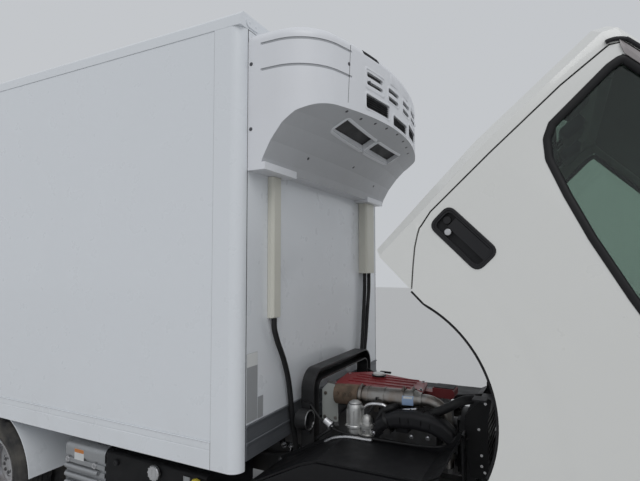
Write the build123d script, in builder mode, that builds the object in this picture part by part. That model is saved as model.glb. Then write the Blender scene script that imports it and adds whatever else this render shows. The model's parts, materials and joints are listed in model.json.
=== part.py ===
from build123d import *
from math import cos, radians, sin, tan
import os

# A light cab-over refrigerated truck with its cab tilted forward.
# Millimetres. +X points forward, +Y to the truck's left, +Z up, ground at z = 0.
# The origin is the bottom centre of the whole truck as it stands, cab tilted.

os.makedirs("parts", exist_ok=True)

# Places along the truck
BOX_FRONT = 507
AXLE_AHEAD = 580
WHEELBASE = 2525
FRONT_AXLE = BOX_FRONT + AXLE_AHEAD
REAR_AXLE = FRONT_AXLE - WHEELBASE
BOX_LENGTH = 3150
BOX_REAR = BOX_FRONT - BOX_LENGTH

# Chassis frame
RAIL_OUTER = 350
RAIL_FLANGE = 60
RAIL_WALL = 6
RAIL_BOTTOM = 500
RAIL_TOP = 660
RAIL_NOSE_TOP = 545
SLEEPER_TOP = 745

# Insulated box
BOX_HALF = 900
BOX_TOP = 2839
BOX_BOTTOM = 726
WALL = 75
RAIL_PROUD = 3
LIP_PROUD = 3
FLOOR_TOP = 852
TOP_RAIL_HIGH = 71
TOP_RAIL_WIDE = 60
TOP_RAIL_CHAMFER = 22
POST_LONG = 150
POST_RADIUS = 58
POST_FRONT_WIDE = 60
REAR_FRAME_THICK = 80
REAR_POST_WIDE = 73
BAND_BOTTOM = 770
BAND_HIGH = 158
BAND_THICK = 6
TOP_RAIL_BOTTOM = BOX_TOP - TOP_RAIL_HIGH
RAIL_HALF = BOX_HALF + RAIL_PROUD
INNER_HALF = BOX_HALF - WALL
FRONT_FLAT_HALF = BOX_HALF - POST_FRONT_WIDE

# Rear doors of the box
DOOR_GAP = 6
BOX_DOOR_PIN_OUT = 22
BOX_DOOR_PIN_BACK = 30
BOX_DOOR_PIN_R = 9
LOCK_BAR_R = 13
LOCK_BAR_STAND = 22

# Wheels
TYRE_R = 355
TYRE_WIDE = 195
TYRE_SIDES = 40
RIM_R = 205
FRONT_WHEEL_Y = 700
REAR_PAIR_Y = 652
TWIN_SPACING = 220
KINGPIN_Y = 620
KINGPIN_R = 15
SPINDLE_R = 30
REAR_SPINDLE_R = 38
RUNNING = 0.3
SEAT_GAP = 0.3

# Cab, measured with the cab down: x from the front axle, z above the ground
CAB_HALF = 845
CAB_WALL = 40
PIVOT_AHEAD = 863
PIVOT_Z = 700
PIVOT_R = 12
TILT = 45
ARCH_R = 473
ARCH_Z = 390
CAB_BOTTOM = 460
CAB_REAR_BOTTOM = 840
CAB_NOSE_BOTTOM = 660
SKIRT_FRONT = 800
CAB_BACK_INNER = -391
TUNNEL_HALF = 460
TUNNEL_TOP = 1105
TUNNEL_ROOF = 25
PLATFORM_TOP = 975
FOOTWELL_TOP = 760
HEEL_X = 455
FLOOR_THICK = 25
FLARE_PROUD = 12
FLARE_TAPER = 72
HANDLE_DEEP = 22

# Refrigeration unit on the front wall
UNIT_DOWN = 89
UNIT_HIGH = 640
UNIT_Y = -20
UNIT_HALF = 820
UNIT_DEEP = 484
UNIT_EDGE = 50
UNIT_TOP = BOX_TOP - UNIT_DOWN
UNIT_BOTTOM = UNIT_TOP - UNIT_HIGH

SIDES = {"left": 1, "right": -1}


def front(x):
    """A length measured forward from the front axle."""
    return FRONT_AXLE + x


def ahead(x):
    """A length measured forward from the box's front wall."""
    return BOX_FRONT + x


PIVOT = Vector(front(PIVOT_AHEAD), 0, PIVOT_Z)
TILTED = Location(PIVOT) * Location((0, 0, 0), (0, TILT, 0)) * Location(-PIVOT)
STANDS = Location()


def save(builder, label, place=STANDS):
    """Write a finished piece, in its place, under the name of its node."""
    placed = place * builder.part
    placed.label = label
    export_step(placed, f"parts/{label}.step")


def span(side, near, far):
    """A range of y on one side of the truck, lower value first."""
    return tuple(sorted((side * near, side * far)))


def block(x_range, y_range, z_range, mode=Mode.ADD):
    """A plain block between two values of x, y and z."""
    centre = (sum(x_range) / 2, sum(y_range) / 2, sum(z_range) / 2)
    sizes = [high - low for low, high in (x_range, y_range, z_range)]
    with Locations(centre):
        return Box(*sizes, mode=mode)


def side_plate(points, y_range, mode=Mode.ADD):
    """A plate drawn in side view, x and z, and as thick as its range of y."""
    with BuildSketch(Plane.XZ.offset(-y_range[1])) as profile:
        Polygon(*points, align=None)
    return extrude(profile.sketch, amount=y_range[1] - y_range[0], mode=mode)


def front_plate(points, x_range, mode=Mode.ADD):
    """A plate drawn in front view, y and z, and as thick as its range of x."""
    with BuildSketch(Plane.YZ.offset(x_range[0])) as profile:
        Polygon(*points, align=None)
    return extrude(profile.sketch, amount=x_range[1] - x_range[0], mode=mode)


def plan_plate(points, z_range, mode=Mode.ADD):
    """A plate drawn in plan, x and y, and as thick as its range of z."""
    with BuildSketch(Plane.XY.offset(z_range[0])) as profile:
        Polygon(*points, align=None)
    return extrude(profile.sketch, amount=z_range[1] - z_range[0], mode=mode)


def rod(start, end, radius, mode=Mode.ADD):
    """A round bar between two points."""
    start, end = Vector(start), Vector(end)
    with BuildSketch(Plane(origin=start, z_dir=end - start)) as section:
        Circle(radius)
    return extrude(section.sketch, amount=(end - start).length, mode=mode)


def turned(base, direction, profile):
    """A turned piece; its profile lists distance along its axis and radius."""
    base, direction = Vector(base), Vector(direction)
    upright = Vector(1, 0, 0) if abs(direction.Z) > 0.9 else Vector(0, 0, 1)
    with BuildSketch(Plane(origin=base, x_dir=direction, z_dir=direction.cross(upright))) as half:
        Polygon((profile[0][0], 0), *profile, (profile[-1][0], 0), align=None)
    return revolve(half.sketch, axis=Axis(base, direction))


def tube(points, radius, share=0.45):
    """A pipe of straight runs, joined by arcs as large as the runs allow."""
    points = [Vector(p) for p in points]
    radii = []
    for before, here, after in zip(points, points[1:], points[2:]):
        turn = (here - before).get_angle(after - here)
        run = min((here - before).length, (after - here).length)
        radii.append(share * run / tan(radians(turn / 2)))
    with BuildLine() as route:
        FilletPolyline(*points, radius=radii)
    with BuildSketch(Plane(origin=points[0], z_dir=points[1] - points[0])) as section:
        Circle(radius)
    sweep(section.sketch, path=route.wires()[0])
    return radii


# Chassis frame: two channel rails that drop at the nose, cross members and sleepers
NOSE_END = front(1030)
DROP_START = front(700)
DROP_END = front(850)
BRACKET_Y = (350, 362, 408, 420)
CROSS_HALF = RAIL_OUTER - RAIL_WALL
with BuildPart() as frame:
    for side in SIDES.values():
        ys = span(side, RAIL_OUTER - RAIL_FLANGE, RAIL_OUTER)
        rail_side = [
            (BOX_REAR, RAIL_BOTTOM), (NOSE_END, RAIL_BOTTOM), (NOSE_END, RAIL_NOSE_TOP),
            (DROP_END, RAIL_NOSE_TOP), (DROP_START + 20, RAIL_TOP), (BOX_REAR, RAIL_TOP),
        ]
        side_plate(rail_side, ys)
        core = span(side, RAIL_OUTER - RAIL_FLANGE - RAIL_WALL, RAIL_OUTER - RAIL_WALL)
        hollow_side = [
            (BOX_REAR - 1, RAIL_BOTTOM + RAIL_WALL), (DROP_START, RAIL_BOTTOM + RAIL_WALL),
            (DROP_START, RAIL_TOP - RAIL_WALL), (BOX_REAR - 1, RAIL_TOP - RAIL_WALL),
        ]
        side_plate(hollow_side, core, mode=Mode.SUBTRACT)
        block((BOX_REAR + 90, ahead(-120)), ys, (RAIL_TOP, SLEEPER_TOP))
    for x in (BOX_REAR + 60, REAR_AXLE - 500, REAR_AXLE + 520):
        block((x - 30, x + 30), (-CROSS_HALF, CROSS_HALF), (RAIL_BOTTOM + 20, RAIL_TOP - 20))
    block((ahead(-530), ahead(-470)), (-CROSS_HALF, CROSS_HALF), (RAIL_BOTTOM + RAIL_WALL, 540))
    nose_half = RAIL_OUTER - RAIL_FLANGE
    block((front(740), front(790)), (-nose_half, nose_half), (RAIL_BOTTOM + 5, RAIL_NOSE_TOP - 5))
    for side in SIDES.values():
        for near, far in (BRACKET_Y[:2], BRACKET_Y[2:]):
            side_plate(
                [(DROP_START, 520), (DROP_END, 520), (front(888), 660), (front(891), 705),
                 (front(833), 705), (DROP_START, 560)],
                span(side, near, far),
            )
            rod((front(PIVOT_AHEAD), side * near, PIVOT_Z), (front(PIVOT_AHEAD), side * far, PIVOT_Z), 30)
        block((DROP_START, DROP_END), span(side, BRACKET_Y[0], BRACKET_Y[3]), (508, 520))
        rod((front(PIVOT_AHEAD), side * BRACKET_Y[0], PIVOT_Z), (front(PIVOT_AHEAD), side * BRACKET_Y[3], PIVOT_Z),
            PIVOT_R)
save(frame, "frame")

# Front bumper: a bent sheet that wraps round the corners, with lamp openings
BUMPER_FRONT = front(1062)
BUMPER_THICK = 32
BUMPER_HALF = 868
BUMPER_Z = (360, 620)
LAMP_Y = (490, 750)
LAMP_Z = (440, 575)
INLET_HALF = 330
INLET_Z = (410, 500)
with BuildPart() as front_bumper:
    with BuildSketch(Plane.XY.offset(BUMPER_Z[0])):
        with BuildLine():
            corner = Polyline(
                (front(860), -BUMPER_HALF), (BUMPER_FRONT - 90, -BUMPER_HALF),
                (BUMPER_FRONT, -BUMPER_HALF + 120), (BUMPER_FRONT, 0),
            )
            offset(corner, amount=BUMPER_THICK, side=Side.LEFT)
        make_face()
        mirror(about=Plane.XZ)
    extrude(amount=BUMPER_Z[1] - BUMPER_Z[0])
    chamfer(faces().sort_by(Axis.X)[-1].edges().filter_by(Axis.Y), 14)
    for side in SIDES.values():
        block((front(900), front(1080)), span(side, *LAMP_Y), LAMP_Z, mode=Mode.SUBTRACT)
    block((front(900), front(1080)), (-INLET_HALF, INLET_HALF), INLET_Z, mode=Mode.SUBTRACT)
    for z in (INLET_Z[0] + 28, INLET_Z[1] - 36):
        block((BUMPER_FRONT - 28, BUMPER_FRONT - 16), (-INLET_HALF, INLET_HALF), (z, z + 8))
save(front_bumper, "front_bumper")

with BuildPart() as headlamps:
    for side in SIDES.values():
        with BuildSketch(Plane.XY.offset(LAMP_Z[0])) as lamp_plan:
            low, high = span(side, *LAMP_Y)
            Polygon((front(1000), low), (BUMPER_FRONT - 6, low), (BUMPER_FRONT - 6, high),
                    (front(1000), high), align=None)
        extrude(lamp_plan.sketch, amount=LAMP_Z[1] - LAMP_Z[0])
        for y in (LAMP_Y[0] + 75, LAMP_Y[1] - 70):
            turned((BUMPER_FRONT - 8, side * y, sum(LAMP_Z) / 2), (1, 0, 0), [(0, 58), (4, 56), (12, 40)])
save(headlamps, "headlamps")

# Axles
BEAM_TOP = 330
BOSS_Z = (300, 410)
PIN_Z = (256, 454)
with BuildPart() as front_axle:
    side_y = [(-560, 380), (-500, BEAM_TOP), (-430, BEAM_TOP), (430, BEAM_TOP), (500, BEAM_TOP), (560, 380)]
    front_plate(side_y + [(560, 320), (430, 270), (-430, 270), (-560, 320)], (front(-30), front(30)))
    for side in SIDES.values():
        rod((FRONT_AXLE, side * KINGPIN_Y, BOSS_Z[0]), (FRONT_AXLE, side * KINGPIN_Y, BOSS_Z[1]), 36)
        block((front(-26), front(26)), span(side, 540, KINGPIN_Y), (300, 380))
        rod((FRONT_AXLE, side * KINGPIN_Y, PIN_Z[0]), (FRONT_AXLE, side * KINGPIN_Y, PIN_Z[1]), KINGPIN_R)
save(front_axle, "front_axle")

KNUCKLE_FACE = 690
BACKPLATE_R = 122
for name, side in SIDES.items():
    with BuildPart() as knuckle:
        for low, high in ((258, 299), (411, 452)):
            with BuildSketch(Plane.XY.offset(low)):
                with Locations((FRONT_AXLE, side * KINGPIN_Y)):
                    Circle(34)
                arm_y = span(side, KINGPIN_Y, KNUCKLE_FACE)
                with Locations((FRONT_AXLE, sum(arm_y) / 2)):
                    Rectangle(68, arm_y[1] - arm_y[0])
                with Locations((FRONT_AXLE, side * KINGPIN_Y)):
                    Circle(KINGPIN_R + RUNNING, mode=Mode.SUBTRACT)
            extrude(amount=high - low)
        block((front(-40), front(40)), span(side, 662, KNUCKLE_FACE), (258, 452))
        rod((FRONT_AXLE, side * 668, TYRE_R), (FRONT_AXLE, side * 674, TYRE_R), BACKPLATE_R)
        rod((FRONT_AXLE, side * KNUCKLE_FACE, TYRE_R), (FRONT_AXLE, side * 765, TYRE_R), SPINDLE_R)
    save(knuckle, f"knuckle_{name}")

HUB_END = 430
SHAFT_END = 700
with BuildPart() as rear_axle:
    rod((REAR_AXLE, -HUB_END, TYRE_R), (REAR_AXLE, HUB_END, TYRE_R), 50)
    rod((REAR_AXLE, -SHAFT_END, TYRE_R), (REAR_AXLE, SHAFT_END, TYRE_R), REAR_SPINDLE_R)
    turned((REAR_AXLE, -110, TYRE_R), (0, 1, 0), [(0, 60), (30, 118), (75, 150), (145, 150), (190, 118), (220, 60)])
    rod((REAR_AXLE, 0, TYRE_R + 10), (REAR_AXLE + 210, 0, TYRE_R + 10), 60)
    for side in SIDES.values():
        rod((REAR_AXLE, side * 408, TYRE_R), (REAR_AXLE, side * 414, TYRE_R), BACKPLATE_R)
save(rear_axle, "rear_axle")


# Tyre section, from one bead to the other: distance across from the middle, radius
BEAD_R = RIM_R + 8
TYRE_HALF = TYRE_WIDE / 2
TYRE_SECTION = [
    (-TYRE_HALF + 16, BEAD_R + 8), (-TYRE_HALF, BEAD_R + 66), (-TYRE_HALF + 8, TYRE_R - 30),
    (-TYRE_HALF + 24, TYRE_R - 5), (-TYRE_HALF + 40, TYRE_R), (TYRE_HALF - 40, TYRE_R),
    (TYRE_HALF - 24, TYRE_R - 5), (TYRE_HALF - 8, TYRE_R - 30), (TYRE_HALF, BEAD_R + 66),
    (TYRE_HALF - 16, BEAD_R + 8),
]


def tyre(x, centre_y):
    """A tyre with flat facets, one of them on the ground."""
    facet_turn = 180 / TYRE_SIDES
    levels = []
    for across, out in TYRE_SECTION:
        with BuildSketch(Plane.XZ.offset(-(centre_y + across))) as level:
            with Locations((x, TYRE_R)):
                RegularPolygon(out, TYRE_SIDES, major_radius=False, rotation=facet_turn)
        levels.append(level.sketch)
    loft(levels, ruled=True)
    with BuildSketch(Plane.XZ.offset(-(centre_y + TYRE_HALF))) as bore:
        with Locations((x, TYRE_R)):
            RegularPolygon(BEAD_R, TYRE_SIDES, major_radius=False, rotation=facet_turn)
    extrude(bore.sketch, amount=TYRE_WIDE, mode=Mode.SUBTRACT)


def spin(points, x):
    """Turn a section round the wheel's axle; its numbers are y and radius."""
    with BuildSketch(Plane.YZ.offset(x)) as section:
        Polygon(*[(y, TYRE_R + out) for y, out in points], align=None)
    revolve(section.sketch, axis=Axis((x, 0, TYRE_R), (0, 1, 0)))


DISC_THICK = 12
DISC_FLAT_R = 100
HAND_HOLES = 8
HAND_HOLE_R = 19
HAND_HOLE_PCD_R = 137
DRUM_R = 150
DRUM_WALL = 18


def rim_disc(centre_y, side, dish, bore):
    """A disc wheel's section, as y and radius, with its dish towards the given side."""
    half = TYRE_HALF - 14
    barrel_in = RIM_R - 6
    shape = [
        (-half, barrel_in), (-half, BEAD_R), (half, BEAD_R), (half, barrel_in),
        (dish - 6, barrel_in), (dish - 18, 172), (dish + DISC_THICK, DISC_FLAT_R), (dish + DISC_THICK, bore),
        (dish, bore), (dish, DISC_FLAT_R - 4), (dish - 32, 170), (dish - 26, barrel_in),
    ]
    return [(centre_y + side * across, out) for across, out in shape]


def hand_holes(x, y_range):
    """Round holes through the wheel's disc."""
    with BuildSketch(Plane.XZ.offset(-y_range[1])) as ring:
        with Locations((x, TYRE_R)):
            with PolarLocations(HAND_HOLE_PCD_R, HAND_HOLES):
                Circle(HAND_HOLE_R)
    extrude(ring.sketch, amount=y_range[1] - y_range[0], mode=Mode.SUBTRACT)


FRONT_DISH = 36
for name, side in SIDES.items():
    y = side * FRONT_WHEEL_Y
    with BuildPart() as front_tyre:
        tyre(FRONT_AXLE, y)
    save(front_tyre, f"tyre_front_{name}")
    with BuildPart() as rim:
        bore = SPINDLE_R + RUNNING
        spin(rim_disc(y, side, FRONT_DISH, bore), FRONT_AXLE)
        hand_holes(FRONT_AXLE, span(side, FRONT_WHEEL_Y + 9, FRONT_WHEEL_Y + TYRE_HALF))
        cap = [(48, 50), (78, 44), (84, 30), (84, 0), (66, 0), (66, bore), (40, bore), (40, 50)]
        spin([(y + side * out, r) for out, r in cap], FRONT_AXLE)
        drum_in = DRUM_R - DRUM_WALL
        drum = [(36, 80), (8, 80), (8, DRUM_R), (-34, DRUM_R), (-34, drum_in), (-3, drum_in), (-3, 60), (36, 60)]
        spin([(y + side * out, r) for out, r in drum], FRONT_AXLE)
    save(rim, f"rim_front_{name}")
    outer_y = side * (REAR_PAIR_Y + TWIN_SPACING / 2)
    inner_y = side * (REAR_PAIR_Y - TWIN_SPACING / 2)
    with BuildPart() as tyres:
        tyre(REAR_AXLE, outer_y)
        tyre(REAR_AXLE, inner_y)
    save(tyres, f"tyres_rear_{name}")
    dish = TWIN_SPACING / 2 - DISC_THICK
    bore = REAR_SPINDLE_R + RUNNING
    with BuildPart() as rims:
        spin(rim_disc(outer_y, -side, dish, bore), REAR_AXLE)
        spin(rim_disc(inner_y, side, dish, bore), REAR_AXLE)
        hand_holes(REAR_AXLE, span(side, REAR_PAIR_Y - 54, REAR_PAIR_Y + 50))
        hub = [
            (REAR_PAIR_Y, 80), (SHAFT_END + 40, 72), (SHAFT_END + 46, 60), (SHAFT_END + 46, 0),
            (SHAFT_END + 1, 0), (SHAFT_END + 1, bore), (REAR_PAIR_Y, bore),
        ]
        spin([(side * along, r) for along, r in hub], REAR_AXLE)
        drum = [
            (0, 80), (-57, 80), (-57, DRUM_R), (-230, DRUM_R), (-230, DRUM_R - DRUM_WALL),
            (-85, DRUM_R - DRUM_WALL), (-85, 60), (0, 60),
        ]
        spin([(side * (REAR_PAIR_Y + out), r) for out, r in drum], REAR_AXLE)
    save(rims, f"rims_rear_{name}")

# Leaf springs: an arched pack over each axle, hung from the rails
SPRING_Y = 320
SPRING_WIDE = 60
SPRING_EYE_Z = 462
# axle place, height of the spring's seat, reach each way
SPRINGS = [(FRONT_AXLE, BEAM_TOP, 560), (REAR_AXLE, TYRE_R + 50, 600)]
with BuildPart() as leaf_springs:
    for axle_x, seat_z, reach in SPRINGS:
        for side in SIDES.values():
            ys = span(side, SPRING_Y - SPRING_WIDE / 2, SPRING_Y + SPRING_WIDE / 2)
            with BuildSketch(Plane.XZ.offset(-ys[1])):
                with BuildLine():
                    ThreePointArc((axle_x - reach, SPRING_EYE_Z), (axle_x, seat_z), (axle_x + reach, SPRING_EYE_Z))
                    Line((axle_x + reach, SPRING_EYE_Z), (axle_x + reach, RAIL_BOTTOM))
                    Line((axle_x + reach, RAIL_BOTTOM), (axle_x + reach - 50, RAIL_BOTTOM))
                    ThreePointArc(
                        (axle_x + reach - 50, RAIL_BOTTOM), (axle_x, seat_z + 42),
                        (axle_x - reach + 50, RAIL_BOTTOM),
                    )
                    Line((axle_x - reach + 50, RAIL_BOTTOM), (axle_x - reach, RAIL_BOTTOM))
                    Line((axle_x - reach, RAIL_BOTTOM), (axle_x - reach, SPRING_EYE_Z))
                make_face()
            extrude(amount=ys[1] - ys[0])
            block((axle_x - 55, axle_x + 55), ys, (seat_z + 40, seat_z + 52))
save(leaf_springs, "leaf_springs")

# Engine, open to view under the raised cab. Its places are ahead of the box's front wall.
with BuildPart() as engine:
    block((ahead(150), ahead(700)), (-160, 140), (600, 880))
    block((ahead(140), ahead(720)), (-185, 120), (880, 955))
    with BuildSketch(Plane.XY.offset(600)) as sump_top:
        with Locations((ahead(420), -10)):
            Rectangle(470, 250)
    with BuildSketch(Plane.XY.offset(420)) as sump_foot:
        with Locations((ahead(450), -10)):
            Rectangle(330, 190)
    loft([sump_top.sketch, sump_foot.sketch], ruled=True)
    block((ahead(240), ahead(620)), (-250, -185), (850, 905))
    for x in (300, 400, 500, 600):
        rod((ahead(x), 100, 900), (ahead(x), 190, 880), 24)
    block((ahead(230), ahead(660)), (180, 240), (850, 915))
    rod((ahead(560), 200, 740), (ahead(700), 200, 740), 70)
    rod((ahead(180), 190, 700), (ahead(480), 190, 700), 62)
    for y, z, r in ((-20, 640, 95), (200, 740, 40), (-10, 830, 75)):
        rod((ahead(700), y, z), (ahead(745), y, z), r)
    turned((ahead(362), -419, 822), (0, 0, 1),
           [(0, 30), (60, 27), (92, 26), (100, 36), (128, 40), (150, 33), (160, 16)])
    block((ahead(332), ahead(392)), (-425, -240), (800, 856))
    block((ahead(420), ahead(500)), (-300, -160), (800, 840))
    plate = [(150, 800), (215, 800), (215, 940), (190, 1030), (150, 1030)]
    side_plate([(ahead(x), z) for x, z in plate], (-300, -290))
    block((ahead(150), ahead(215)), (-292, -150), (860, 875))
save(engine, "engine")

# Red covers over the head; plan outlines in x and y
COVER_PLAN = [(148, -229), (633, -160), (607, 41), (312, 131), (236, 146), (108, 54)]
COVER_TOP = 1000
CAP_PLACE = (333, 5)
with BuildPart() as head_cover:
    outline = [(ahead(x), y) for x, y in COVER_PLAN]
    plan_plate(outline, (COVER_TOP - 22, COVER_TOP))
    chamfer(faces().sort_by(Axis.Z)[-1].edges(), 7)
    plan_plate([(ahead(160), -170), (ahead(610), -150), (ahead(600), 30), (ahead(150), 60)], (955, COVER_TOP - 22))
    for y in (-130, -70, -10, 40):
        block((ahead(200), ahead(560)), (y - 5, y + 5), (COVER_TOP, COVER_TOP + 5))
    with BuildSketch(Plane.XY.offset(COVER_TOP)) as cap_ring:
        with Locations((ahead(CAP_PLACE[0]), CAP_PLACE[1])):
            Ellipse(44, 32)
    extrude(cap_ring.sketch, amount=10)
    with BuildSketch(Plane.XY.offset(COVER_TOP + 10)) as cap_top:
        with Locations((ahead(CAP_PLACE[0]), CAP_PLACE[1])):
            Ellipse(30, 21)
    extrude(cap_top.sketch, amount=8)
    block((ahead(665), ahead(778)), (-84, 20), (955, 1004))
    chamfer(faces().sort_by(Axis.X)[-1].edges().filter_by(Axis.Y), 10)
    block((ahead(600), ahead(670)), (-60, 0), (955, 975))
save(head_cover, "head_cover")

# Exhaust: hot elbow, banded canister, outlet that turns down to the frame
CANISTER = Vector(ahead(215), -325, 978)
CANISTER_DIR = Vector(1, 0, 0.05).normalized()
# distance along the axis, radius
CANISTER_SHAPE = [
    (0, 30), (12, 44), (30, 50), (58, 50), (66, 44), (112, 42), (124, 46), (136, 46), (136, 34), (154, 34),
    (154, 44), (174, 44), (174, 49), (192, 49), (192, 46), (270, 46), (270, 49), (278, 49), (278, 46), (366, 46),
    (366, 49), (374, 49), (374, 46), (410, 46), (410, 50), (426, 50), (426, 46), (450, 36), (462, 34),
]
with BuildPart() as exhaust_canister:
    turned(CANISTER, CANISTER_DIR, CANISTER_SHAPE)
    block((ahead(240), ahead(330)), (-300, -185), (940, 968))
    for x in (420, 590):
        block((ahead(x), ahead(x + 26)), (-310, -200), (905, 966))
    outlet_start = CANISTER + CANISTER_DIR * 430
    tube(
        [outlet_start, (ahead(725), -325, 1003), (ahead(785), -325, 962), (ahead(800), -318, 860),
         (ahead(790), -300, 700)],
        28,
    )
save(exhaust_canister, "exhaust_canister")

# Intake: a fat moulded duct along the side of the engine bay, and a radiator hose
INTAKE_Y = -405
# x ahead of the wall, height, half width, half height
INTAKE_SECTIONS = [
    (470, 868, 34, 34), (510, 900, 38, 36), (570, 922, 44, 40), (660, 930, 46, 42), (740, 924, 46, 42),
    (800, 900, 44, 44), (840, 868, 40, 44), (862, 838, 34, 38),
]
with BuildPart() as intake:
    rings = []
    for x, z, half_wide, half_high in INTAKE_SECTIONS:
        with BuildSketch(Plane.YZ.offset(ahead(x))) as ring:
            with Locations((INTAKE_Y, z)):
                RectangleRounded(2 * half_wide, 2 * half_high, 0.62 * half_wide)
        rings.append(ring.sketch)
    loft(rings, ruled=True)
    turned((ahead(430), INTAKE_Y, 800), (0.6, 0, 0.8), [(0, 30), (16, 30), (16, 36), (30, 36), (30, 30), (92, 30)])
    turned((ahead(452), INTAKE_Y, 848), (0.8, 0, 0.6), [(0, 38), (12, 38), (12, 33), (20, 33), (20, 38), (32, 38)])
    block((ahead(560), ahead(620)), (-390, -250), (852, 904))
save(intake, "intake")

with BuildPart() as gearbox:
    front_face, rear_face = ahead(150), ahead(-420)
    with BuildSketch(Plane.YZ.offset(rear_face)) as tail_face:
        with Locations((0, 640)):
            Rectangle(170, 170)
    with BuildSketch(Plane.YZ.offset(front_face)) as bell_face:
        with Locations((0, 624)):
            Rectangle(300, 250)
    loft([tail_face.sketch, bell_face.sketch], ruled=True)
    for x in (-330, -240, -150, -60):
        block((ahead(x - 8), ahead(x + 8)), (-105, 105), (530, 560))
    rod((rear_face, 0, 600), (REAR_AXLE + 235, 0, TYRE_R + 10), 38)
    rod((REAR_AXLE + 245, 0, TYRE_R + 10), (REAR_AXLE + 210, 0, TYRE_R + 10), 45)
save(gearbox, "gearbox_and_propshaft")

# Radiator with its shroud, fan, tanks and the two side stays that lean forward
CORE_X = (ahead(880), ahead(935))
CORE_HALF = 270
CORE_Z = (570, 880)
FAN_X = ahead(790)
FAN_Z = 725
FAN_R = 150
with BuildPart() as radiator:
    block(CORE_X, (-CORE_HALF, CORE_HALF), CORE_Z)
    for low, high in ((CORE_Z[0] - 30, CORE_Z[0]), (CORE_Z[1], CORE_Z[1] + 36)):
        block((CORE_X[0] - 8, CORE_X[1] + 8), (-CORE_HALF, CORE_HALF), (low, high))
    for z in range(CORE_Z[0] + 20, CORE_Z[1], 30):
        block((CORE_X[1], CORE_X[1] + 6), (-CORE_HALF + 10, CORE_HALF - 10), (z, z + 6))
    with BuildSketch(Plane.YZ.offset(CORE_X[0] - 70)) as shroud:
        with Locations((0, FAN_Z)):
            Circle(FAN_R + 22)
            Circle(FAN_R + 14, mode=Mode.SUBTRACT)
    extrude(shroud.sketch, amount=70)
    for side in SIDES.values():
        stay = [(880, 600), (925, 600), (925, 800), (985, 1040), (985, 1062), (925, 1062), (880, 960)]
        side_plate([(ahead(x), z) for x, z in stay], span(side, 356, 364))
        block((ahead(880), ahead(925)), span(side, CORE_HALF, 356), (RAIL_TOP + 4, RAIL_TOP + 30))
        block((ahead(880), ahead(925)), span(side, CORE_HALF, 356), (850, 880))
        block((ahead(880), ahead(925)), span(side, RAIL_OUTER, 364), (RAIL_NOSE_TOP, 620))
        block((ahead(925), ahead(985)), span(side, 364, 430), (1054, 1062))
        block((ahead(880), ahead(888)), span(side, 364, 446), (640, 905))
save(radiator, "radiator")

with BuildPart() as fan:
    rod((ahead(745), -20, FAN_Z - 5), (FAN_X + 30, -20, FAN_Z - 5), 34)
    blades = 7
    for number in range(blades):
        turn = 360 * number / blades
        with BuildSketch(Plane.YZ.offset(FAN_X)) as blade:
            with Locations((-20, FAN_Z - 5)):
                with Locations(Location((0, 0), turn)):
                    with Locations((80, 0)):
                        Rectangle(120, 46)
        extrude(blade.sketch, amount=14)
save(fan, "engine_fan")

# Front wheelhouse liners: bent sheets between the rails and the cab's sides, with a lip inside
LINER_THICK = 8
LINER_IN, LINER_OUT = 452, 780
LINER_LIP = 24
LINER = [(-36, 632), (250, 778), (330, 806), (790, 812), (860, 850), (893, 905)]
LINER_FOOT_X = (-20, 48)
with BuildPart() as liners:
    for side in SIDES.values():
        for near, far, thick in ((LINER_IN + 8, LINER_OUT, LINER_THICK), (LINER_IN, LINER_IN + 8, LINER_LIP)):
            ys = span(side, near, far)
            with BuildSketch(Plane.XZ.offset(-ys[1])):
                with BuildLine():
                    bend = Polyline(*[(ahead(x), z) for x, z in LINER])
                    offset(bend, amount=thick, side=Side.LEFT)
                make_face()
            extrude(amount=ys[1] - ys[0])
        block((ahead(888), ahead(896)), span(side, 430, LINER_IN + 8), (850, 905))
        block((ahead(LINER_FOOT_X[0]), ahead(LINER_FOOT_X[1])), span(side, RAIL_OUTER, LINER_IN + 8), (640, 650))
    drop = [(250, 700), (250, 778), (330, 806), (330, 740), (300, 720)]
    side_plate([(ahead(x), z) for x, z in drop], (-LINER_OUT, -LINER_OUT + 6))
save(liners, "wheelhouse_liners")

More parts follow.
